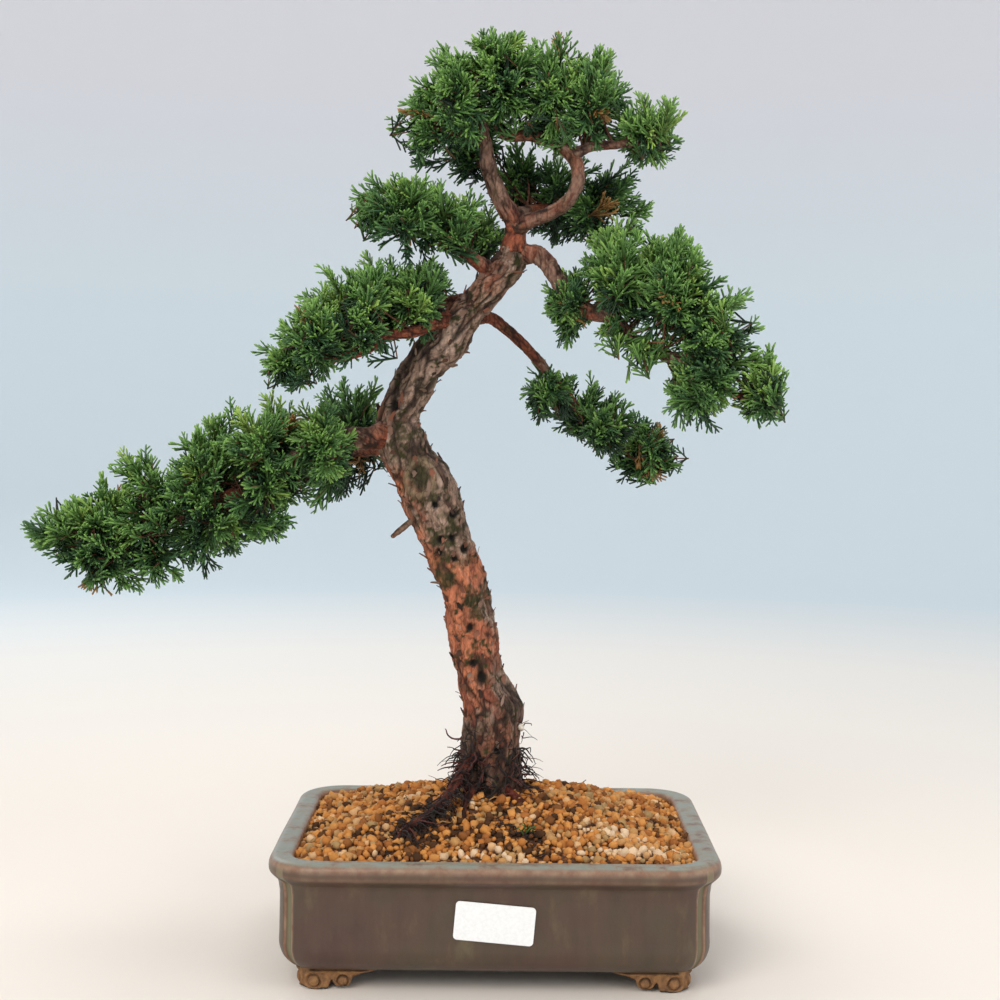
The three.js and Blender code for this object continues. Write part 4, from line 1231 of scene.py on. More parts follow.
def painted_material(name, layer, roughness):
    """A material whose colour is painted on the points, broken up by fine noise."""
    material, tree, shader = new_material(name, Roughness=roughness)
    tone = output(add_node(tree, "ShaderNodeVertexColor", layer_name=layer), "Color")
    fleck = noise_field(tree, object_place(tree), 900.0, 4.0, 0.65)
    tree.links.new(shaded(tree, tone, 0.9, fleck, (0.3, 0.62), (0.7, 1.2)), shader.inputs["Base Color"])
    return material


# Wood

ROOTS = [name for name in LIMBS if name.startswith("root")]
TRUNK_STEP = 1.0  # millimetres between rings
TRUNK_SIDES = 96
LIMB_STEP = 1.3
BARK_SEED = 1  # without it noise_vector bends the plates another way on each run
# Marks on the trunk's front: x and z from its foot, half-width and half-height, millimetres
WOUND = (-38.5, 163.9, 7.0, 9.0)
KNOTS = [
    (-21.1, 145.2, 2.8, 2.8), (-27.7, 131.5, 2.2, 2.6), (-21.5, 132.6, 2.2, 2.4), (-15.1, 126.9, 2.6, 3.0),
    (-28.2, 124.6, 2.0, 2.6), (-20.3, 121.5, 2.2, 2.2), (-5, 59.3, 3.0, 3.4), (-9.8, 66.7, 2.5, 2.6),
    (-11.6, 85.7, 2.2, 2.8), (-51.8, 201.9, 3.0, 3.4), (-30.5, 150, 2.0, 2.4), (3.5, 22, 2.4, 3.0),
]
MOSS = [
    (-9.1, 102.7, 6, 8), (-7.5, 94.8, 5, 7), (-24.9, 111, 7, 9), (-38.5, 163.9, 5, 6), (-30, 155, 7, 6),
    (-26, 128, 9, 12), (-47, 186, 8, 10), (-10, 72, 5, 7), (-20, 140, 6, 7),
]
# Swellings also say how far they rise
BULGES = [(13.6, 40.9, 5, 8, 2.6), (-48, 182, 7, 9, 1.6), (-30, 148, 7, 8, 1.2), (8, 8, 9, 8, 1.8)]
PEBBLE = (14.8, 31.8)
PEBBLE_RADIUS = 1.9
PEBBLE_ROWS, PEBBLE_SIDES = 7, 12
FLAKE_CURLS = (0.1, 0.22, 0.34, 0.5)
HAIR_COUNT = 560


def bark_plate(place):
    """How far a place is from the nearest crack, and a number that is the same all over its plate."""
    distances, centres = noise.voronoi(place)
    middle = centres[0]
    pick = math.sin(middle.x * 12.99 + middle.y * 78.23 + middle.z * 37.72) * 43758.55 % 1.0
    return distances[1] - distances[0], pick


class Skin:
    """A limb's bark: rings of points over its smooth centre line, in millimetres from the trunk's foot."""

    def __init__(self, line, step, sides, flutes=0.0, collar=0.0):
        self.path = smooth_path(line, step)
        self.along, across, third = path_frames(self.path)
        steps = np.linalg.norm(np.diff(self.path[:, :3], axis=0), axis=1)
        self.reach = np.concatenate([[0], np.cumsum(steps)])
        angle = ring_angles(sides)
        self.angle = angle[None, :] + self.reach[:, None] / 260  # the grain turns slowly
        self.out = np.cos(angle)[None, :, None] * across[:, None] + np.sin(angle)[None, :, None] * third[:,
                                                                                                         None]
        bent = 0.6 * np.cos(3 * self.angle + self.reach[:, None] / 48) + 0.4 * np.cos(
            5 * self.angle - self.reach[:, None] / 33 + 1.3)
        swollen = 1 + flutes * bent + collar * np.exp(-self.reach[:, None] / 7)
        self.radius = self.path[:, 3:4] * swollen
        self.sides = sides

    def dress(self, settings, seed, fresh, rough, dark_base=None):
        """Raises plates and cracks, and picks each point's colour, with painted shade in the cracks."""
        noise.seed_set(BARK_SEED)
        plate, relief = settings.plate / MM, settings.relief / MM
        thin = np.clip(self.path[:, 3:4] / 9, 0.3, 1.0)
        shape = self.radius.shape
        height, crack, flake, pick, patch, moss, open_here, grain = (np.zeros(shape) for _ in range(8))
        for i in range(shape[0]):
            s, size = self.reach[i], plate * max(0.45, thin[i, 0])
            for j in range(shape[1]):
                r, a = self.radius[i, j], self.angle[i, j]
                place = Vector((r * math.cos(a), r * math.sin(a), s)) + Vector((seed, 0, 0))
                bend = noise.noise_vector(place / 8.0)
                spot = Vector((place.x + 2.6 * bend.x, place.y + 2.6 * bend.y,
                               (place.z + 7 * bend.z) * 0.2)) / size
                edge, plate_pick = bark_plate(spot)
                fine, fine_pick = bark_plate(Vector((spot.x, spot.y, spot.z * 1.9)) * 2.4)
                crack[i, j], flake[i, j] = edge, fine
                pick[i, j] = plate_pick * 0.45 + fine_pick * 0.55
                patch[i, j] = noise.noise(place / 24.0 + Vector((0, 0, 4.0)))
                open_here[i, j] = noise.noise(place / 9.0 + Vector((0, 5.0, 0)))
                moss[i, j] = noise.noise(place / 10.0 + Vector((9.0, 0, 0))) + 0.5 * noise.noise(place / 2.6)
                fibre = noise.noise(Vector((place.x / 1.1, place.y / 1.1, place.z / 9.0)))
                height[i, j] = (0.7 * min(edge / 0.22, 1) + 0.28 * min(fine / 0.3,
                                                                       1) + 0.5 * (plate_pick - 0.5)
                                + 0.45 * (fine_pick - 0.5) + 0.25 * fibre + 0.7 * noise.noise(place / 8.0))
                grain[i, j] = fibre
        self.lift = (height - 0.7) * relief * thin
        depth = smoothstep(-0.15, 0.45, open_here + rough)
        open_crack = (1 - (1 - smoothstep(0.03, 0.25, crack)) * depth)[..., None]
        open_crack = open_crack * (1 - 0.55 * (1 - smoothstep(0.0, 0.14, flake)) * depth)[..., None]
        peeled = smoothstep(-0.25, 0.35, fresh + patch - (pick - 0.5) * 0.5)[..., None]
        warm, old = np.array(settings.underbark), np.array(settings.weathered)
        warmer, deep = np.array(srgb(142, 80, 60)), np.array(srgb(96, 68, 54))
        pale, dark = np.array(srgb(186, 158, 140)), np.array(srgb(40, 28, 22))
        shade = pick[..., None]
        fresh_tone = warmer + (warm - warmer) * smoothstep(0.15, 0.75, shade)
        old_tone = deep + (old - deep) * smoothstep(0.1, 0.5, shade)
        old_tone = old_tone + (pale - old_tone) * smoothstep(0.66, 0.95, shade) * 0.7
        tone = (old_tone + (fresh_tone - old_tone) * peeled) * (1 + 0.22 * grain[..., None])
        mossy = smoothstep(0.3, 0.7, moss + 0.3 * (1 - open_crack[..., 0]))[..., None] * 0.55
        tone = tone + (np.array(settings.moss) - tone) * mossy
        if dark_base is not None:
            low = (1 - smoothstep(dark_base * 0.3, dark_base, self.reach + 14 * patch.mean(1)))[:, None, None]
            tone = tone + (np.array(srgb(74, 50, 40)) - tone) * low * 0.7
        # Painted shade: the tone is darkened towards near black in the plates' cracks and the finer cracks,
        # most where they stand open
        self.tone = dark + (tone - dark) * (0.1 + 0.9 * open_crack)

    def points(self):
        return self.path[:, None, :3] + self.out * (self.radius + self.lift)[..., None]

    def mark(self):
        """Works the wound, the knots, the moss and the swellings into the trunk's front."""
        spots = self.points()
        front = self.out[..., 1] < 0.35
        black, moss = np.array(srgb(28, 24, 18)), np.array(srgb(56, 54, 28))
        for x, z, wide, tall, rise in BULGES:
            self.lift += np.where(front, rise * np.exp(-self.apart(spots, x, z, wide, tall) ** 2), 0)
        speckle = np.array([[noise.noise(Vector(spot) / 2.0) + noise.noise(Vector(spot) / 5.0)
                             for spot in row]
                            for row in spots])
        for x, z, wide, tall in MOSS:
            near = np.exp(-self.apart(spots, x, z, wide, tall) ** 2)
            cover = np.where(front, smoothstep(0.3, 0.75, near * 0.9 + 0.75 * speckle), 0)[..., None] * 0.85
            self.tone += (moss - self.tone) * cover
        for x, z, wide, tall in KNOTS:
            apart = self.apart(spots, x, z, wide, tall)
            lip = np.exp(-((apart - 1.15) / 0.35) ** 2)
            hole = 1 - smoothstep(0.3, 1.0, apart)
            self.lift += np.where(front, 1.0 * lip - 1.7 * hole, 0)
            self.tone += (black - self.tone) * np.where(front, 1 - smoothstep(0.6, 1.15, apart), 0)[..., None]
        x, z, wide, tall = WOUND
        apart = self.apart(spots, x, z, wide, tall)
        lip = np.where(front, np.exp(-((apart - 1.0) / 0.24) ** 2), 0)
        hole = np.where(front, 1 - smoothstep(0.55, 0.95, apart), 0)
        self.lift = self.lift * (1 - np.where(front, np.exp(-apart ** 2), 0)) + 2.0 * lip - 1.2 * hole
        self.tone += (np.array(srgb(132, 112, 86)) - self.tone) * (lip * 0.75)[..., None]
        self.tone += (np.array(srgb(58, 54, 32)) - self.tone) * (hole * 0.85)[..., None]

    def apart(self, spots, x, z, wide, tall):
        return np.hypot((spots[..., 0] - x) / wide, (spots[..., 2] - z) / tall)

    def part(self):
        """Points in metres, faces and colours, with both ends closed."""
        body = self.points()
        ends = [self.path[0, :3], self.path[-1, :3] + self.along[-1] * 0.6 * self.path[-1, 3]]
        points = np.vstack([body.reshape(-1, 3), ends])
        tones = np.vstack([self.tone.reshape(-1, 4), self.tone[0, 0], self.tone[-1, 0]])
        return TRUNK_FOOT + points * MM, skin_faces(len(body), self.sides), tones


def bark_material(name):
    """Flaking bark: the painted plates, broken up by fibres that run with the wood and by fine cracks in
    painted shade.
    """
    if name in bpy.data.materials:
        return bpy.data.materials[name]
    material, tree, shader = new_material(name, Roughness=0.88, Specular_IOR_Level=0.3)
    tone = output(add_node(tree, "ShaderNodeVertexColor", layer_name="bark_tone"), "Color")
    fibre = noise_field(tree, object_place(tree, (1, 1, 0.4)), 850.0, 6.0, 0.7)
    tone = shaded(tree, tone, 0.9, fibre, (0.3, 0.5), (0.5, 1.0), (0.72, 1.5))
    swirl = add_node(tree, "ShaderNodeTexNoise", {"Vector": object_place(tree), "Scale": 120.0})
    bent = add_node(tree, "ShaderNodeVectorMath", {
        0: output(swirl, "Color"), 1: (0.006, 0.006, 0.006), 2: object_place(tree, (1, 1, 0.28))},
        operation="MULTIPLY_ADD")
    cells = add_node(tree, "ShaderNodeTexVoronoi", {"Vector": output(bent), "Scale": 210.0},
                     feature="DISTANCE_TO_EDGE")
    # Painted shade: fine cracks along the edges of small cells are darkened
    tone = shaded(tree, tone, 0.75, output(cells, "Distance"), (0.0, 0.3), (0.05, 0.72), (0.12, 1.0))
    tree.links.new(tone, shader.inputs["Base Color"])
    raise_surface(tree, shader, fibre, 0.8 * MM, 0.8)
    return material


def limb_skin(name, settings):
    line = LIMBS[name]
    sides = int(np.clip(round(2 * math.pi * line[0][3] / 1.0), 14, 40))
    skin = Skin(line, LIMB_STEP, sides, flutes=0.06, collar=0.35)
    fresh = -0.15 if name in ("apex_leader", "apex_loop", "branch_right") else 0.0
    skin.dress(settings, 40.0 * (1 + list(LIMBS).index(name)), fresh, rough=0.25)
    if name == "dead_stub":
        skin.tone = skin.tone * 0.4 + np.array(srgb(98, 76, 56)) * 0.6
    if name != "dead_stub":
        skin.tone = skin.tone * np.array(srgb(*((158, 104, 92) if name in ROOTS else (222, 208, 204))))
        skin.tone[..., 3] = 1
    return skin


def twigs_of(pad):
    """Where a pad's thin twigs leave its limb and where they end, one fan for each clump."""
    numbers = np.random.default_rng(500 + list(PADS).index(pad))
    limb = smooth_path(LIMBS[PAD_LIMB[pad]], 3.0)
    fans = []
    for clump in PADS[pad]:
        middle, half = np.array(clump[:3], float), np.array(clump[3:], float)
        ends = middle + unit(numbers.normal(size=(5, 3)) + (0, 0, 0.35)) * half * 0.45
        apart = np.linalg.norm(limb[:, :3] - middle, axis=1)
        nearest = int(np.argmin(apart))
        starts = [limb[int(np.clip(nearest + numbers.integers(-8, 4), 2, len(limb) - 1))] for _ in ends]
        fans.append((middle, half, starts, ends))
    return fans


def twig_parts(pad):
    """Thin red-brown twigs from the limb into each clump."""
    numbers = np.random.default_rng(900 + list(PADS).index(pad))
    parts = []
    for middle, half, starts, ends in twigs_of(pad):
        for start, end in zip(starts, ends):
            begin = start[:3]
            bend = (begin + end) / 2 + numbers.normal(size=3) * 2.2 - (0, 0, 2.0)
            line = smooth_path([begin, bend, end], 4.0)
            radius = min(0.6, 0.4 * start[3])
            points, faces = tube(line, radius, 6, 0.5)
            tone = np.array(srgb(112, 72, 52)) * numbers.uniform(0.5, 1.1)
            tone[3] = 1
            parts.append((TRUNK_FOOT + points * MM, faces, tone))
    return parts


class BONSAI_OT_trunk(bpy.types.Operator):
    """Makes the trunk with its plates of bark, knots, healed wound and loose flakes"""
    bl_idname = "bonsai.trunk"
    bl_label = "Trunk"

    def execute(self, context):
        settings = context.scene.bonsai_wood
        skin = Skin(TRUNK, TRUNK_STEP, TRUNK_SIDES, flutes=0.075)
        level = skin.path[:, 2:3]
        rough = np.interp(level, (0, 45, 62, 150, 178, 290), (0.7, 0.55, 0.0, 0.05, 0.5, 0.5))
        fresh = np.interp(level, (0, 40, 60, 110, 150, 175, 290), (-0.2, -0.1, 0.35, 0.3, 0.05, -0.3, -0.3))
        # Painted light: the side term puts more pink fresh bark on the trunk's left, lit side and less on its
        # right; the height term is the real peeling
        skin.dress(settings, 7.0, fresh - 0.22 * skin.out[..., 0], rough, dark_base=85)
        skin.mark()
        trunk = painted_piece("trunk_bark", [skin.part()], bark_material("flaking_bark"), "bark_tone")
        settle(trunk, "bark", "trunk")
        settle(self.flakes(trunk, skin, settings), "bark")
        settle(self.hairs(), "root_bark")
        settle(self.pebble(), "soil")
        return {"FINISHED"}

    def flakes(self, trunk, skin, settings):
        """Curled strips of loose bark."""
        carrier = trunk.copy()
        carrier.data = trunk.data.copy()
        bpy.context.scene.collection.objects.link(carrier)
        along = np.repeat(skin.along, skin.sides, axis=0)
        store(carrier, "along", "FLOAT_VECTOR", np.vstack([along, along[0], along[-1]]))
        shapes = shape_collection("flakes", [self.flake(k) for k in range(len(FLAKE_CURLS))], smooth=False)
        tree, given = new_tree("flake_scatter", {"Spacing": "Float", "Seed": "Int", "Material": "Material"})
        spread = spread_points(tree, given, 3.0e4)
        shaded = with_value(tree, output(spread, "Points"), "shade", random_value(tree, "FLOAT", 0.0, 1.0, 1))
        stand = add_node(tree, "FunctionNodeAlignRotationToVector", {"Vector": output(spread, "Normal")},
                         axis="Z")
        lie = add_node(tree, "FunctionNodeAlignRotationToVector", {
            "Rotation": output(stand), "Vector": named_value(tree, "along", "FLOAT_VECTOR")},
            axis="X", pivot_axis="Z")
        tilt = random_value(tree, "FLOAT_VECTOR", (-0.3, -0.55, -0.3), (0.3, 0.0, 0.3), 2)
        tilted = add_node(tree, "FunctionNodeEulerToRotation", {"Euler": tilt})
        turned = add_node(tree, "FunctionNodeRotateRotation", {
            "Rotation": output(lie), "Rotate By": output(tilted)}, rotation_space="LOCAL")
        scale = random_value(
            tree, "FLOAT_VECTOR", (4 * MM, 3.0 * MM, 2.0 * MM), (11 * MM, 6 * MM, 4.5 * MM), 3)
        choice = random_value(tree, "INT", 0, len(FLAKE_CURLS) - 1, 4)
        instances = pick_shapes(tree, shaded, shapes, output(turned), scale, choice)
        finish_tree(tree, instances, given["Material"])
        flakes = grown("bark_flakes", carrier, tree, {
            "Spacing": settings.flakes, "Seed": 4, "Material": self.flake_material()})
        clear_shapes(shapes)
        return flakes

    def flake(self, variant):
        """A thin strip, 1 long and 0.5 wide, fast at one end and curling up at the other."""
        numbers = random.Random(70 + variant)
        rows, places, points = 6, [], []
        for k in range(rows):
            t = k / (rows - 1)
            width = 0.3 * math.sin(math.pi * (0.18 + 0.68 * t)) * numbers.uniform(0.4, 1.15) + 0.02
            sway, rise = 0.06 * math.sin(3 * t + variant), -0.06 + FLAKE_CURLS[variant] * t ** 2.2
            for side, thick in ((-1, 1), (1, 1), (1, -1), (-1, -1)):
                points.append((t - 0.5, sway + side * width, rise + 0.035 * thick + 0.05 * (1 - side * side)))
                places.append((0.01 * side, t))
        faces = [(4 * k + a, 4 * k + 4 + a, 4 * k + 4 + b, 4 * k + b) for k in range(rows - 1)
                 for a, b in ((1, 0), (2, 1), (3, 2), (0, 3))]
        faces += [(0, 1, 2, 3), (4 * rows - 1, 4 * rows - 2, 4 * rows - 3, 4 * rows - 4)]
        return points, [face[::-1] for face in faces], places

    def flake_material(self):
        material, tree, shader = new_material("bark_flake", Roughness=0.9)
        place = palette_place(tree)
        tone = ramp(tree, place["X"], [
            (0.0, srgb(42, 29, 22)), (0.3, srgb(84, 56, 42)), (0.55, srgb(140, 88, 66)),
            (0.8, srgb(126, 100, 84)), (1.0, srgb(160, 130, 112))])
        tone = shaded(tree, tone, 1.0, place["Y"], (0.0, 0.45), (0.4, 1.0), (0.8, 1.0), (1.0, 0.6))
        tree.links.new(tone, shader.inputs["Base Color"])
        return material

    def hairs(self):
        """Dark fibrous rootlets that cling round the trunk's foot and run out over the soil."""
        numbers = np.random.default_rng(31)
        trunk = smooth_path(TRUNK[:7], 2.0)
        root = smooth_path(LIMBS["root_front_left"], 2.0)
        parts = []
        for k in range(HAIR_COUNT):
            angle = numbers.uniform(0, math.tau)
            way = np.array([math.cos(angle), math.sin(angle), 0])
            if k % 3:
                top = trunk[int(numbers.integers(9, 30))]
                level = abs(numbers.normal()) * 13 - 1
                place = np.array([top[0], top[1], min(level, 42)]) + way * (top[3] * 1.02 + 0.5)
            else:
                top = root[int(numbers.integers(2, len(root)))]
                place = top[:3] + (way * (1, 1, 0) + (0, 0, 0.4)) * top[3]
            line = [place.copy()]
            drift = numbers.normal(size=3) * (0.9, 0.9, 0.5) + (0, 0, -0.35) + way * 0.25
            for _ in range(int(numbers.integers(3, 7))):
                drift = drift + numbers.normal(size=3) * 0.5 + (0, 0, -0.2)
                place = place + unit(drift) * numbers.uniform(1.6, 3.4)
                spread = max(0.0, math.hypot(place[0], place[1]) - 14)
                place[2] = max(place[2], 0.3 - 0.30 * spread)
                line.append(place.copy())
            points, faces = tube(TRUNK_FOOT + smooth_path(line, 2.0) * MM, numbers.uniform(0.22, 0.7) * MM, 5,
                                 0.35)
            parts.append((points, faces, srgb(34, 25, 20) if numbers.random() < 0.75 else srgb(88, 44, 36)))
        return painted_piece("root_hairs", parts, painted_material("root_hair", "hair_tone", 0.8),
                             "hair_tone")

    def pebble(self):
        """A white granule caught in the bark, low on the right."""
        x, z = PEBBLE
        rows = []
        for k in range(1, PEBBLE_ROWS + 1):
            lean = k / (PEBBLE_ROWS + 1) * math.pi
            for j in range(PEBBLE_SIDES):
                turn = j / PEBBLE_SIDES * math.tau
                spot = Vector((math.sin(lean) * math.cos(turn), math.sin(lean) * math.sin(turn),
                               math.cos(lean)))
                rows.append(spot * (PEBBLE_RADIUS + 0.7 * noise.noise(spot * 1.4)))
        points = rows + [Vector((0, 0, PEBBLE_RADIUS)), Vector((0, 0, -PEBBLE_RADIUS))]
        place = TRUNK_FOOT + np.array([x + 1.2, -4.5, z]) * MM
        faces = [face[::-1] for face in skin_faces(PEBBLE_ROWS, PEBBLE_SIDES)]
        pebble = make_piece("caught_granule", place + np.array([tuple(p) for p in points]) * MM, faces,
                            painted_material("pale_granule", "granule_tone", 0.9))
        paint(pebble, "granule_tone", [srgb(226, 214, 196)] * len(points))
        return pebble


class BONSAI_OT_limbs(bpy.types.Operator):
    """Makes the branches, the coiled leader, the dead stub and the twigs inside the pads"""
    bl_idname = "bonsai.limbs"
    bl_label = "Limbs and twigs"

    def execute(self, context):
        settings = context.scene.bonsai_wood
        for name in LIMBS:
            if name in ROOTS:
                continue
            parts = [limb_skin(name, settings).part()]
            for pad, limb in PAD_LIMB.items():
                if limb == name:
                    parts += twig_parts(pad)
            dead = name == "dead_stub"
            skin = bark_material("stub_bark" if dead else "flaking_bark")
            limb = painted_piece(name + "_bark", parts, skin, "bark_tone")
            settle(limb, "dead_wood" if dead else "bark", name)
        return {"FINISHED"}


class BONSAI_OT_roots(bpy.types.Operator):
    """Makes the surface roots that run into the soil"""
    bl_idname = "bonsai.roots"
    bl_label = "Surface roots"

    def execute(self, context):
        settings = context.scene.bonsai_wood
        for name in ROOTS:
            skin = bark_material("root_skin")
            root = painted_piece(name + "_bark", [limb_skin(name, settings).part()], skin, "bark_tone")
            settle(root, "root_bark", name)
        return {"FINISHED"}


# Foliage

# Thin growth in front of the wood: a limb, which of its points, the offset from it and the half-sizes
LOOSE_CLUMPS = {
    "foliage_apex_top": [("apex_loop", 7, (-2, -7, 2), (12, 6, 8)), ("apex_loop", 6, (2, -6, 3), (10, 6, 7))],
    "foliage_right_inner": [("branch_right", 6, (0, -7, -5), (10, 7, 8))],
    "foliage_right_middle": [("branch_right", 7, (4, -7, -5), (11, 7, 8))],
}
STEM_KIND = 4
SHOOT_KINDS = 4
EDGE_ROOM = 3.5  # millimetres kept free inside the frame's box
AREA_POWER = 1.6  # of the formula for an ellipsoid's surface
GOLDEN_ANGLE = math.pi * (3 - math.sqrt(5))
DEEP_CHANCE = 0.2
DEAD_CHANCE = 0.018
INSIDE_OTHER = 0.68  # sprays this far into another clump are left out


class BONSAI_OT_foliage(bpy.types.Operator):
    """Makes the pads: sprays of scale-leaf shoots that stand out from each clump"""
    bl_idname = "bonsai.foliage"
    bl_label = "Foliage pads"

    def execute(self, context):
        settings = context.scene.bonsai_foliage
        material = self.leaf_material(settings)
        shapes = shape_collection("shoots", [self.shoot(k) for k in range(SHOOT_KINDS)] + [self.stem()])
        tree = self.growth_tree(shapes)
        for pad in PADS:
            carrier = self.carrier(pad, settings)
            foliage = grown(pad + "_shoots", carrier, tree, {"Shoot": settings.shoot, "Material": material})
            settle(foliage, "foliage", pad)
        clear_shapes(shapes)
        return {"FINISHED"}

    def shoot(self, variant):
        """A cord of scale leaves, 1 long, with short spurs on alternate sides."""
        numbers = random.Random(80 + variant)
        points, faces, places = [], [], []

        def cord(line, radii, sides, low, high):
            """A cord from a ring at each point but the last, where it ends in a point."""
            first = len(points)
            heading = unit(np.array(line[-1]) - np.array(line[0]))
            side = unit(np.cross(heading, (0.31, 0.9, 0.1)))
            other = np.cross(heading, side)
            for k, (middle, radius) in enumerate(zip(line[:-1], radii)):
                for j in range(sides):
                    turn = j / sides * math.tau
                    points.append(np.array(middle) + radius
                                  * (math.cos(turn) * side + math.sin(turn) * other))
                    places.append((0.012 * math.cos(turn), low + (high - low) * k / (len(line) - 1)))
            points.append(np.array(line[-1]))
            places.append((0.0, high))
            for k in range(len(line) - 2):
                for j in range(sides):
                    a, b = first + k * sides + j, first + k * sides + (j + 1) % sides
                    faces.append((a, b, b + sides, a + sides))
            last = first + (len(line) - 2) * sides
            for j in range(sides):
                faces.append((last + j, last + (j + 1) % sides, len(points) - 1))
            faces.append(tuple(first + j for j in reversed(range(sides))))

        bow = numbers.uniform(-0.07, 0.07)

        def on_main(t):
            return np.array([bow * math.sin(3 * t), 0.06 * t * t, t])

        cord([on_main(t) for t in (0.0, 0.45, 0.93, 1.0)], (0.034, 0.041, 0.036), 4, 0.0, 1.0)
        for k in range(4):
            t = 0.2 + 0.17 * k + numbers.uniform(-0.03, 0.03)
            way = 1 if k % 2 else -1
            lean = numbers.uniform(0.5, 0.8)
            heading = unit((way * math.sin(lean), numbers.uniform(-0.4, 0.4), math.cos(lean)))
            long = numbers.uniform(0.3, 0.5) * (1.1 - 0.4 * t)
            bent = np.array([0, 0, 0.1 * long])
            cord([on_main(t), on_main(t) + heading * long * 0.9 + bent,
                  on_main(t) + heading * long + 1.3 * bent],
                 (0.034, 0.037), 3, t * 0.8, min(1.0, t + 0.4))
        return points, faces, places

    def stem(self):
        """A bare stem, 1 long."""
        points, faces = tube([(0, 0, 0), (0.03, 0.02, 0.5), (0, 0, 1)], 0.021, 4, 0.7)
        return points, faces, [(0.008 * math.cos(i * 1.57), float(p[2])) for i, p in enumerate(points)]

    def carrier(self, pad, settings):
        """A point for each shoot and stem, with its heading, turn, size, shade and kind."""
        numbers = np.random.default_rng(300 + list(PADS).index(pad))
        rows = []
        back_pad_shade = -0.14 if pad in SHADED_BACK_PADS else 0.0
        fans = twigs_of(pad)
        everything = [(np.array(c[:3], float),
                       np.array(c[3:], float)) for clumps in PADS.values() for c in clumps]
        for limb, index, offset, half in LOOSE_CLUMPS.get(pad, ()):
            on_limb = np.array(LIMBS[limb][index])
            fans.append((on_limb[:3] + offset, np.array(half, float), [on_limb], on_limb[None, :3]))
        for middle, half, starts, ends in fans:
            spans = (half[[0, 0, 1]] * half[[1, 2, 2]]) ** AREA_POWER / 3
            area = 4 * math.pi * sum(spans) ** (1 / AREA_POWER)
            count = int(area / settings.spray_area)
            away = unit(middle - starts[0][:3] + (0, 0, 0.01))
            for k in range(count):
                level = 1 - 2 * (k + 0.5) / count
                turn = k * GOLDEN_ANGLE + numbers.normal(0, 0.2)
                flat = math.sqrt(1 - level * level)
                side = unit(np.array([flat * math.cos(turn), flat * math.sin(turn), level])
                            + numbers.normal(size=3) * 0.12)
                deep = numbers.random() < DEEP_CHANCE
                depth = numbers.uniform(0.45, 0.75) if deep else 0.78 + 0.5 * numbers.random() ** 1.4
                tip = middle + side * half * depth
                covered = min(np.linalg.norm((tip - m) / h) for m,
                              h in everything if not np.array_equal(m, middle))
                if covered < INSIDE_OTHER and not (deep and numbers.random() < 0.3):
                    continue
                outward = unit(side / half)
                if outward[2] < -0.45 and numbers.random() < 0.3:
                    continue
                forward = 0.8 * max(0.0, 0.4 + float(outward @ away))
                heading = unit(outward + (0, 0, 0.2) + away * forward + numbers.normal(size=3) * 0.22)
                # Painted light and shade: sprays on top of a clump get a lighter green, deep sprays and the
                # back pads a darker one
                high = 0.5 + 0.5 * outward[2]
                tone = 0.3 + 0.34 * high + 0.1 * numbers.normal() + back_pad_shade - (0.2 if deep else 0)
                if not deep and numbers.random() < 0.14:
                    tone += 0.14
                self.spray(rows, numbers, tip, heading, ends, tone, settings.shoot / MM)
        rows = np.array(rows)
        carrier = make_piece("carrier", TRUNK_FOOT + rows[:, :3] * MM, [])
        store(carrier, "heading", "FLOAT_VECTOR", rows[:, 3:6])
        store(carrier, "turn", "FLOAT", rows[:, 6])
        store(carrier, "size", "FLOAT", rows[:, 7])
        store(carrier, "shade", "FLOAT", rows[:, 8])
        store(carrier, "kind", "INT", rows[:, 9])
        return carrier

    def spray(self, rows, numbers, tip, heading, ends, tone, longest):
        """A flat spray that ends at tip: a leading shoot, pairs beside it, a stem from the nearest twig."""
        low, high = (BOX_LOW - TRUNK_FOOT) / MM + EDGE_ROOM, (BOX_HIGH - TRUNK_FOOT) / MM - EDGE_ROOM
        tip = np.clip(tip, low, high)
        reach = numbers.uniform(18, 28)
        base = np.clip(tip - heading * reach, low, high)
        heading = unit(tip - base)
        reach = np.linalg.norm(tip - base)
        plane = unit(np.cross(heading, unit(numbers.normal(size=3) * (1, 1, 0.6))))
        dead = numbers.random() < DEAD_CHANCE

        def add(place, way, size, shade):
            end = place + way * size
            place = np.clip(place + np.clip(end, low, high) - end, low, high)
            shade = 0.09 if dead else float(np.clip(shade + numbers.normal(0, 0.045), 0.14, 0.97))
            rows.append((*place, *way, numbers.uniform(0, math.tau), size / longest, shade,
                         int(numbers.integers(0, SHOOT_KINDS))))

        leader = longest * numbers.uniform(0.85, 1.1)
        add(tip - heading * leader, heading, leader, tone + 0.06)
        for share in (0.05, 0.3, 0.55):
            for side in (-1, 1):
                lean = numbers.uniform(0.3, 0.7)
                way = unit(heading * math.cos(lean) + side * plane * math.sin(lean)
                           + numbers.normal(size=3) * 0.16)
                size = longest * (0.92 - 0.45 * share) * numbers.uniform(0.7, 1.05)
                add(base + heading * reach * (share + numbers.uniform(-0.06, 0.06)), way, size, tone)
        hub = min(ends, key=lambda end: np.linalg.norm(end - base))
        for start, end in ((hub, base), (base, base + heading * reach * 0.7)):
            gap = end - start
            length = np.linalg.norm(gap)
            if length > 1:
                rows.append((*start, *(gap / length), 0, length / longest, 0.03, STEM_KIND))

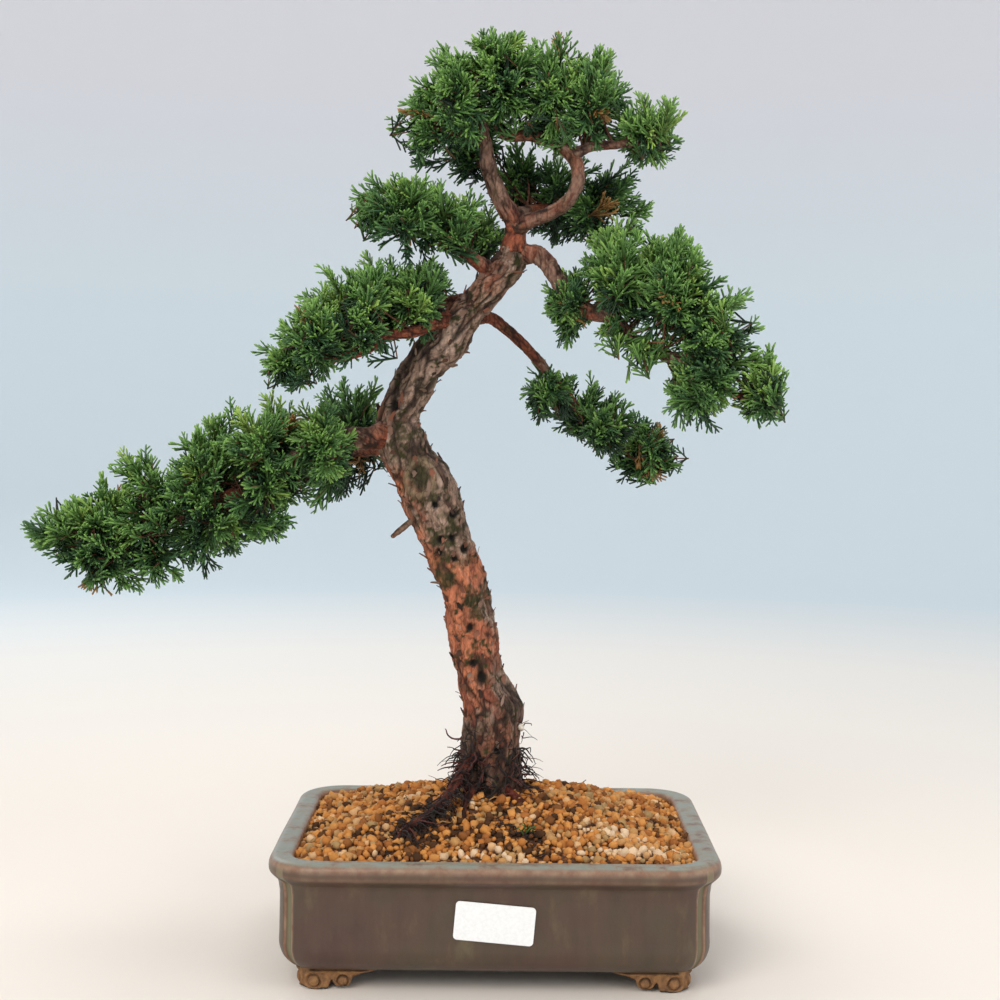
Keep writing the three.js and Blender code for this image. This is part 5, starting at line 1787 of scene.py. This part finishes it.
    def growth_tree(self, shapes):
        tree, given = new_tree("shoot_growth", {"Shoot": "Float", "Material": "Material"})
        points = add_node(tree, "GeometryNodeMeshToPoints", {"Mesh": given["Geometry"]}, mode="VERTICES")
        aimed = add_node(tree, "FunctionNodeAlignRotationToVector", {
            "Vector": named_value(tree, "heading", "FLOAT_VECTOR")}, axis="Z")
        roll = add_node(tree, "FunctionNodeAxisAngleToRotation", {
            "Axis": (0.0, 0.0, 1.0), "Angle": named_value(tree, "turn")})
        turned = add_node(tree, "FunctionNodeRotateRotation", {
            "Rotation": output(aimed), "Rotate By": output(roll)}, rotation_space="LOCAL")
        size = maths(tree, "MULTIPLY", named_value(tree, "size"), given["Shoot"])
        kind = named_value(tree, "kind", "INT")
        instances = pick_shapes(tree, output(points), shapes, output(turned), size, kind)
        finish_tree(tree, instances, given["Material"])
        return tree

    def leaf_material(self, settings):
        """Green by each shoot's shade, from a base in painted shade to a fresh tip in painted light; low
        shades are wood and dead leaf.
        """
        material, tree, shader = new_material("juniper_leaf", Roughness=0.52, Specular_IOR_Level=0.35)
        place = palette_place(tree)
        tone = ramp(tree, place["X"], [
            (0.0, srgb(116, 74, 50)), (0.055, srgb(116, 74, 50)), (0.075, srgb(150, 112, 62)),
            (0.105, srgb(150, 112, 62)), (0.125, settings.shade), (0.3, srgb(50, 88, 52)),
            (0.5, settings.leaf),
            (0.68, srgb(108, 150, 72)), (0.84, srgb(136, 168, 78)), (1.0, srgb(158, 184, 88))])
        # Painted shade and light: each shoot and stem darkens towards its base, deep in the pad, and
        # brightens towards its tip
        tone = shaded(tree, tone, 1.0, place["Y"], (0.0, 0.3), (0.3, 0.66), (0.7, 1.0), (1.0, 1.15))
        near_tip = map_range(tree, place["Y"], 0.5, 1.0, 0.0, 0.7)
        grown_shade = map_range(tree, place["X"], 0.2, 0.75)
        fresh = maths(tree, "MULTIPLY", near_tip, grown_shade)
        tree.links.new(blend_colours(tree, fresh, tone, settings.tip), shader.inputs["Base Color"])
        return material


# Panel and start

PIECES = (BONSAI_OT_stage, BONSAI_OT_pot, BONSAI_OT_fittings, BONSAI_OT_soil, BONSAI_OT_trunk,
          BONSAI_OT_roots,
          BONSAI_OT_limbs, BONSAI_OT_foliage)


class BONSAI_PT_pieces(bpy.types.Panel):
    """Lists the bonsai's settings and pieces"""
    bl_idname = "BONSAI_PT_pieces"
    bl_label = "Juniper Bonsai"
    bl_space_type = "VIEW_3D"
    bl_region_type = "UI"
    bl_category = "Bonsai"

    def draw(self, context):
        for group, kind in GROUPS.items():
            column = self.layout.column(heading=group.replace("bonsai_", "").title())
            for name in kind.__annotations__:
                column.prop(getattr(context.scene, group), name)
        for piece in PIECES:
            self.layout.operator(piece.bl_idname)


def register():
    for kind in (*GROUPS.values(), *PIECES, BONSAI_PT_pieces):
        bpy.utils.register_class(kind)
    for group, kind in GROUPS.items():
        setattr(bpy.types.Scene, group, bpy.props.PointerProperty(type=kind))


def unregister():
    for group in GROUPS:
        delattr(bpy.types.Scene, group)
    for kind in reversed((*GROUPS.values(), *PIECES, BONSAI_PT_pieces)):
        bpy.utils.unregister_class(kind)


def main():
    register()
    for piece in PIECES:
        group, action = piece.bl_idname.split(".")
        getattr(getattr(bpy.ops, group), action)()


if __name__ == "__main__":
    main()
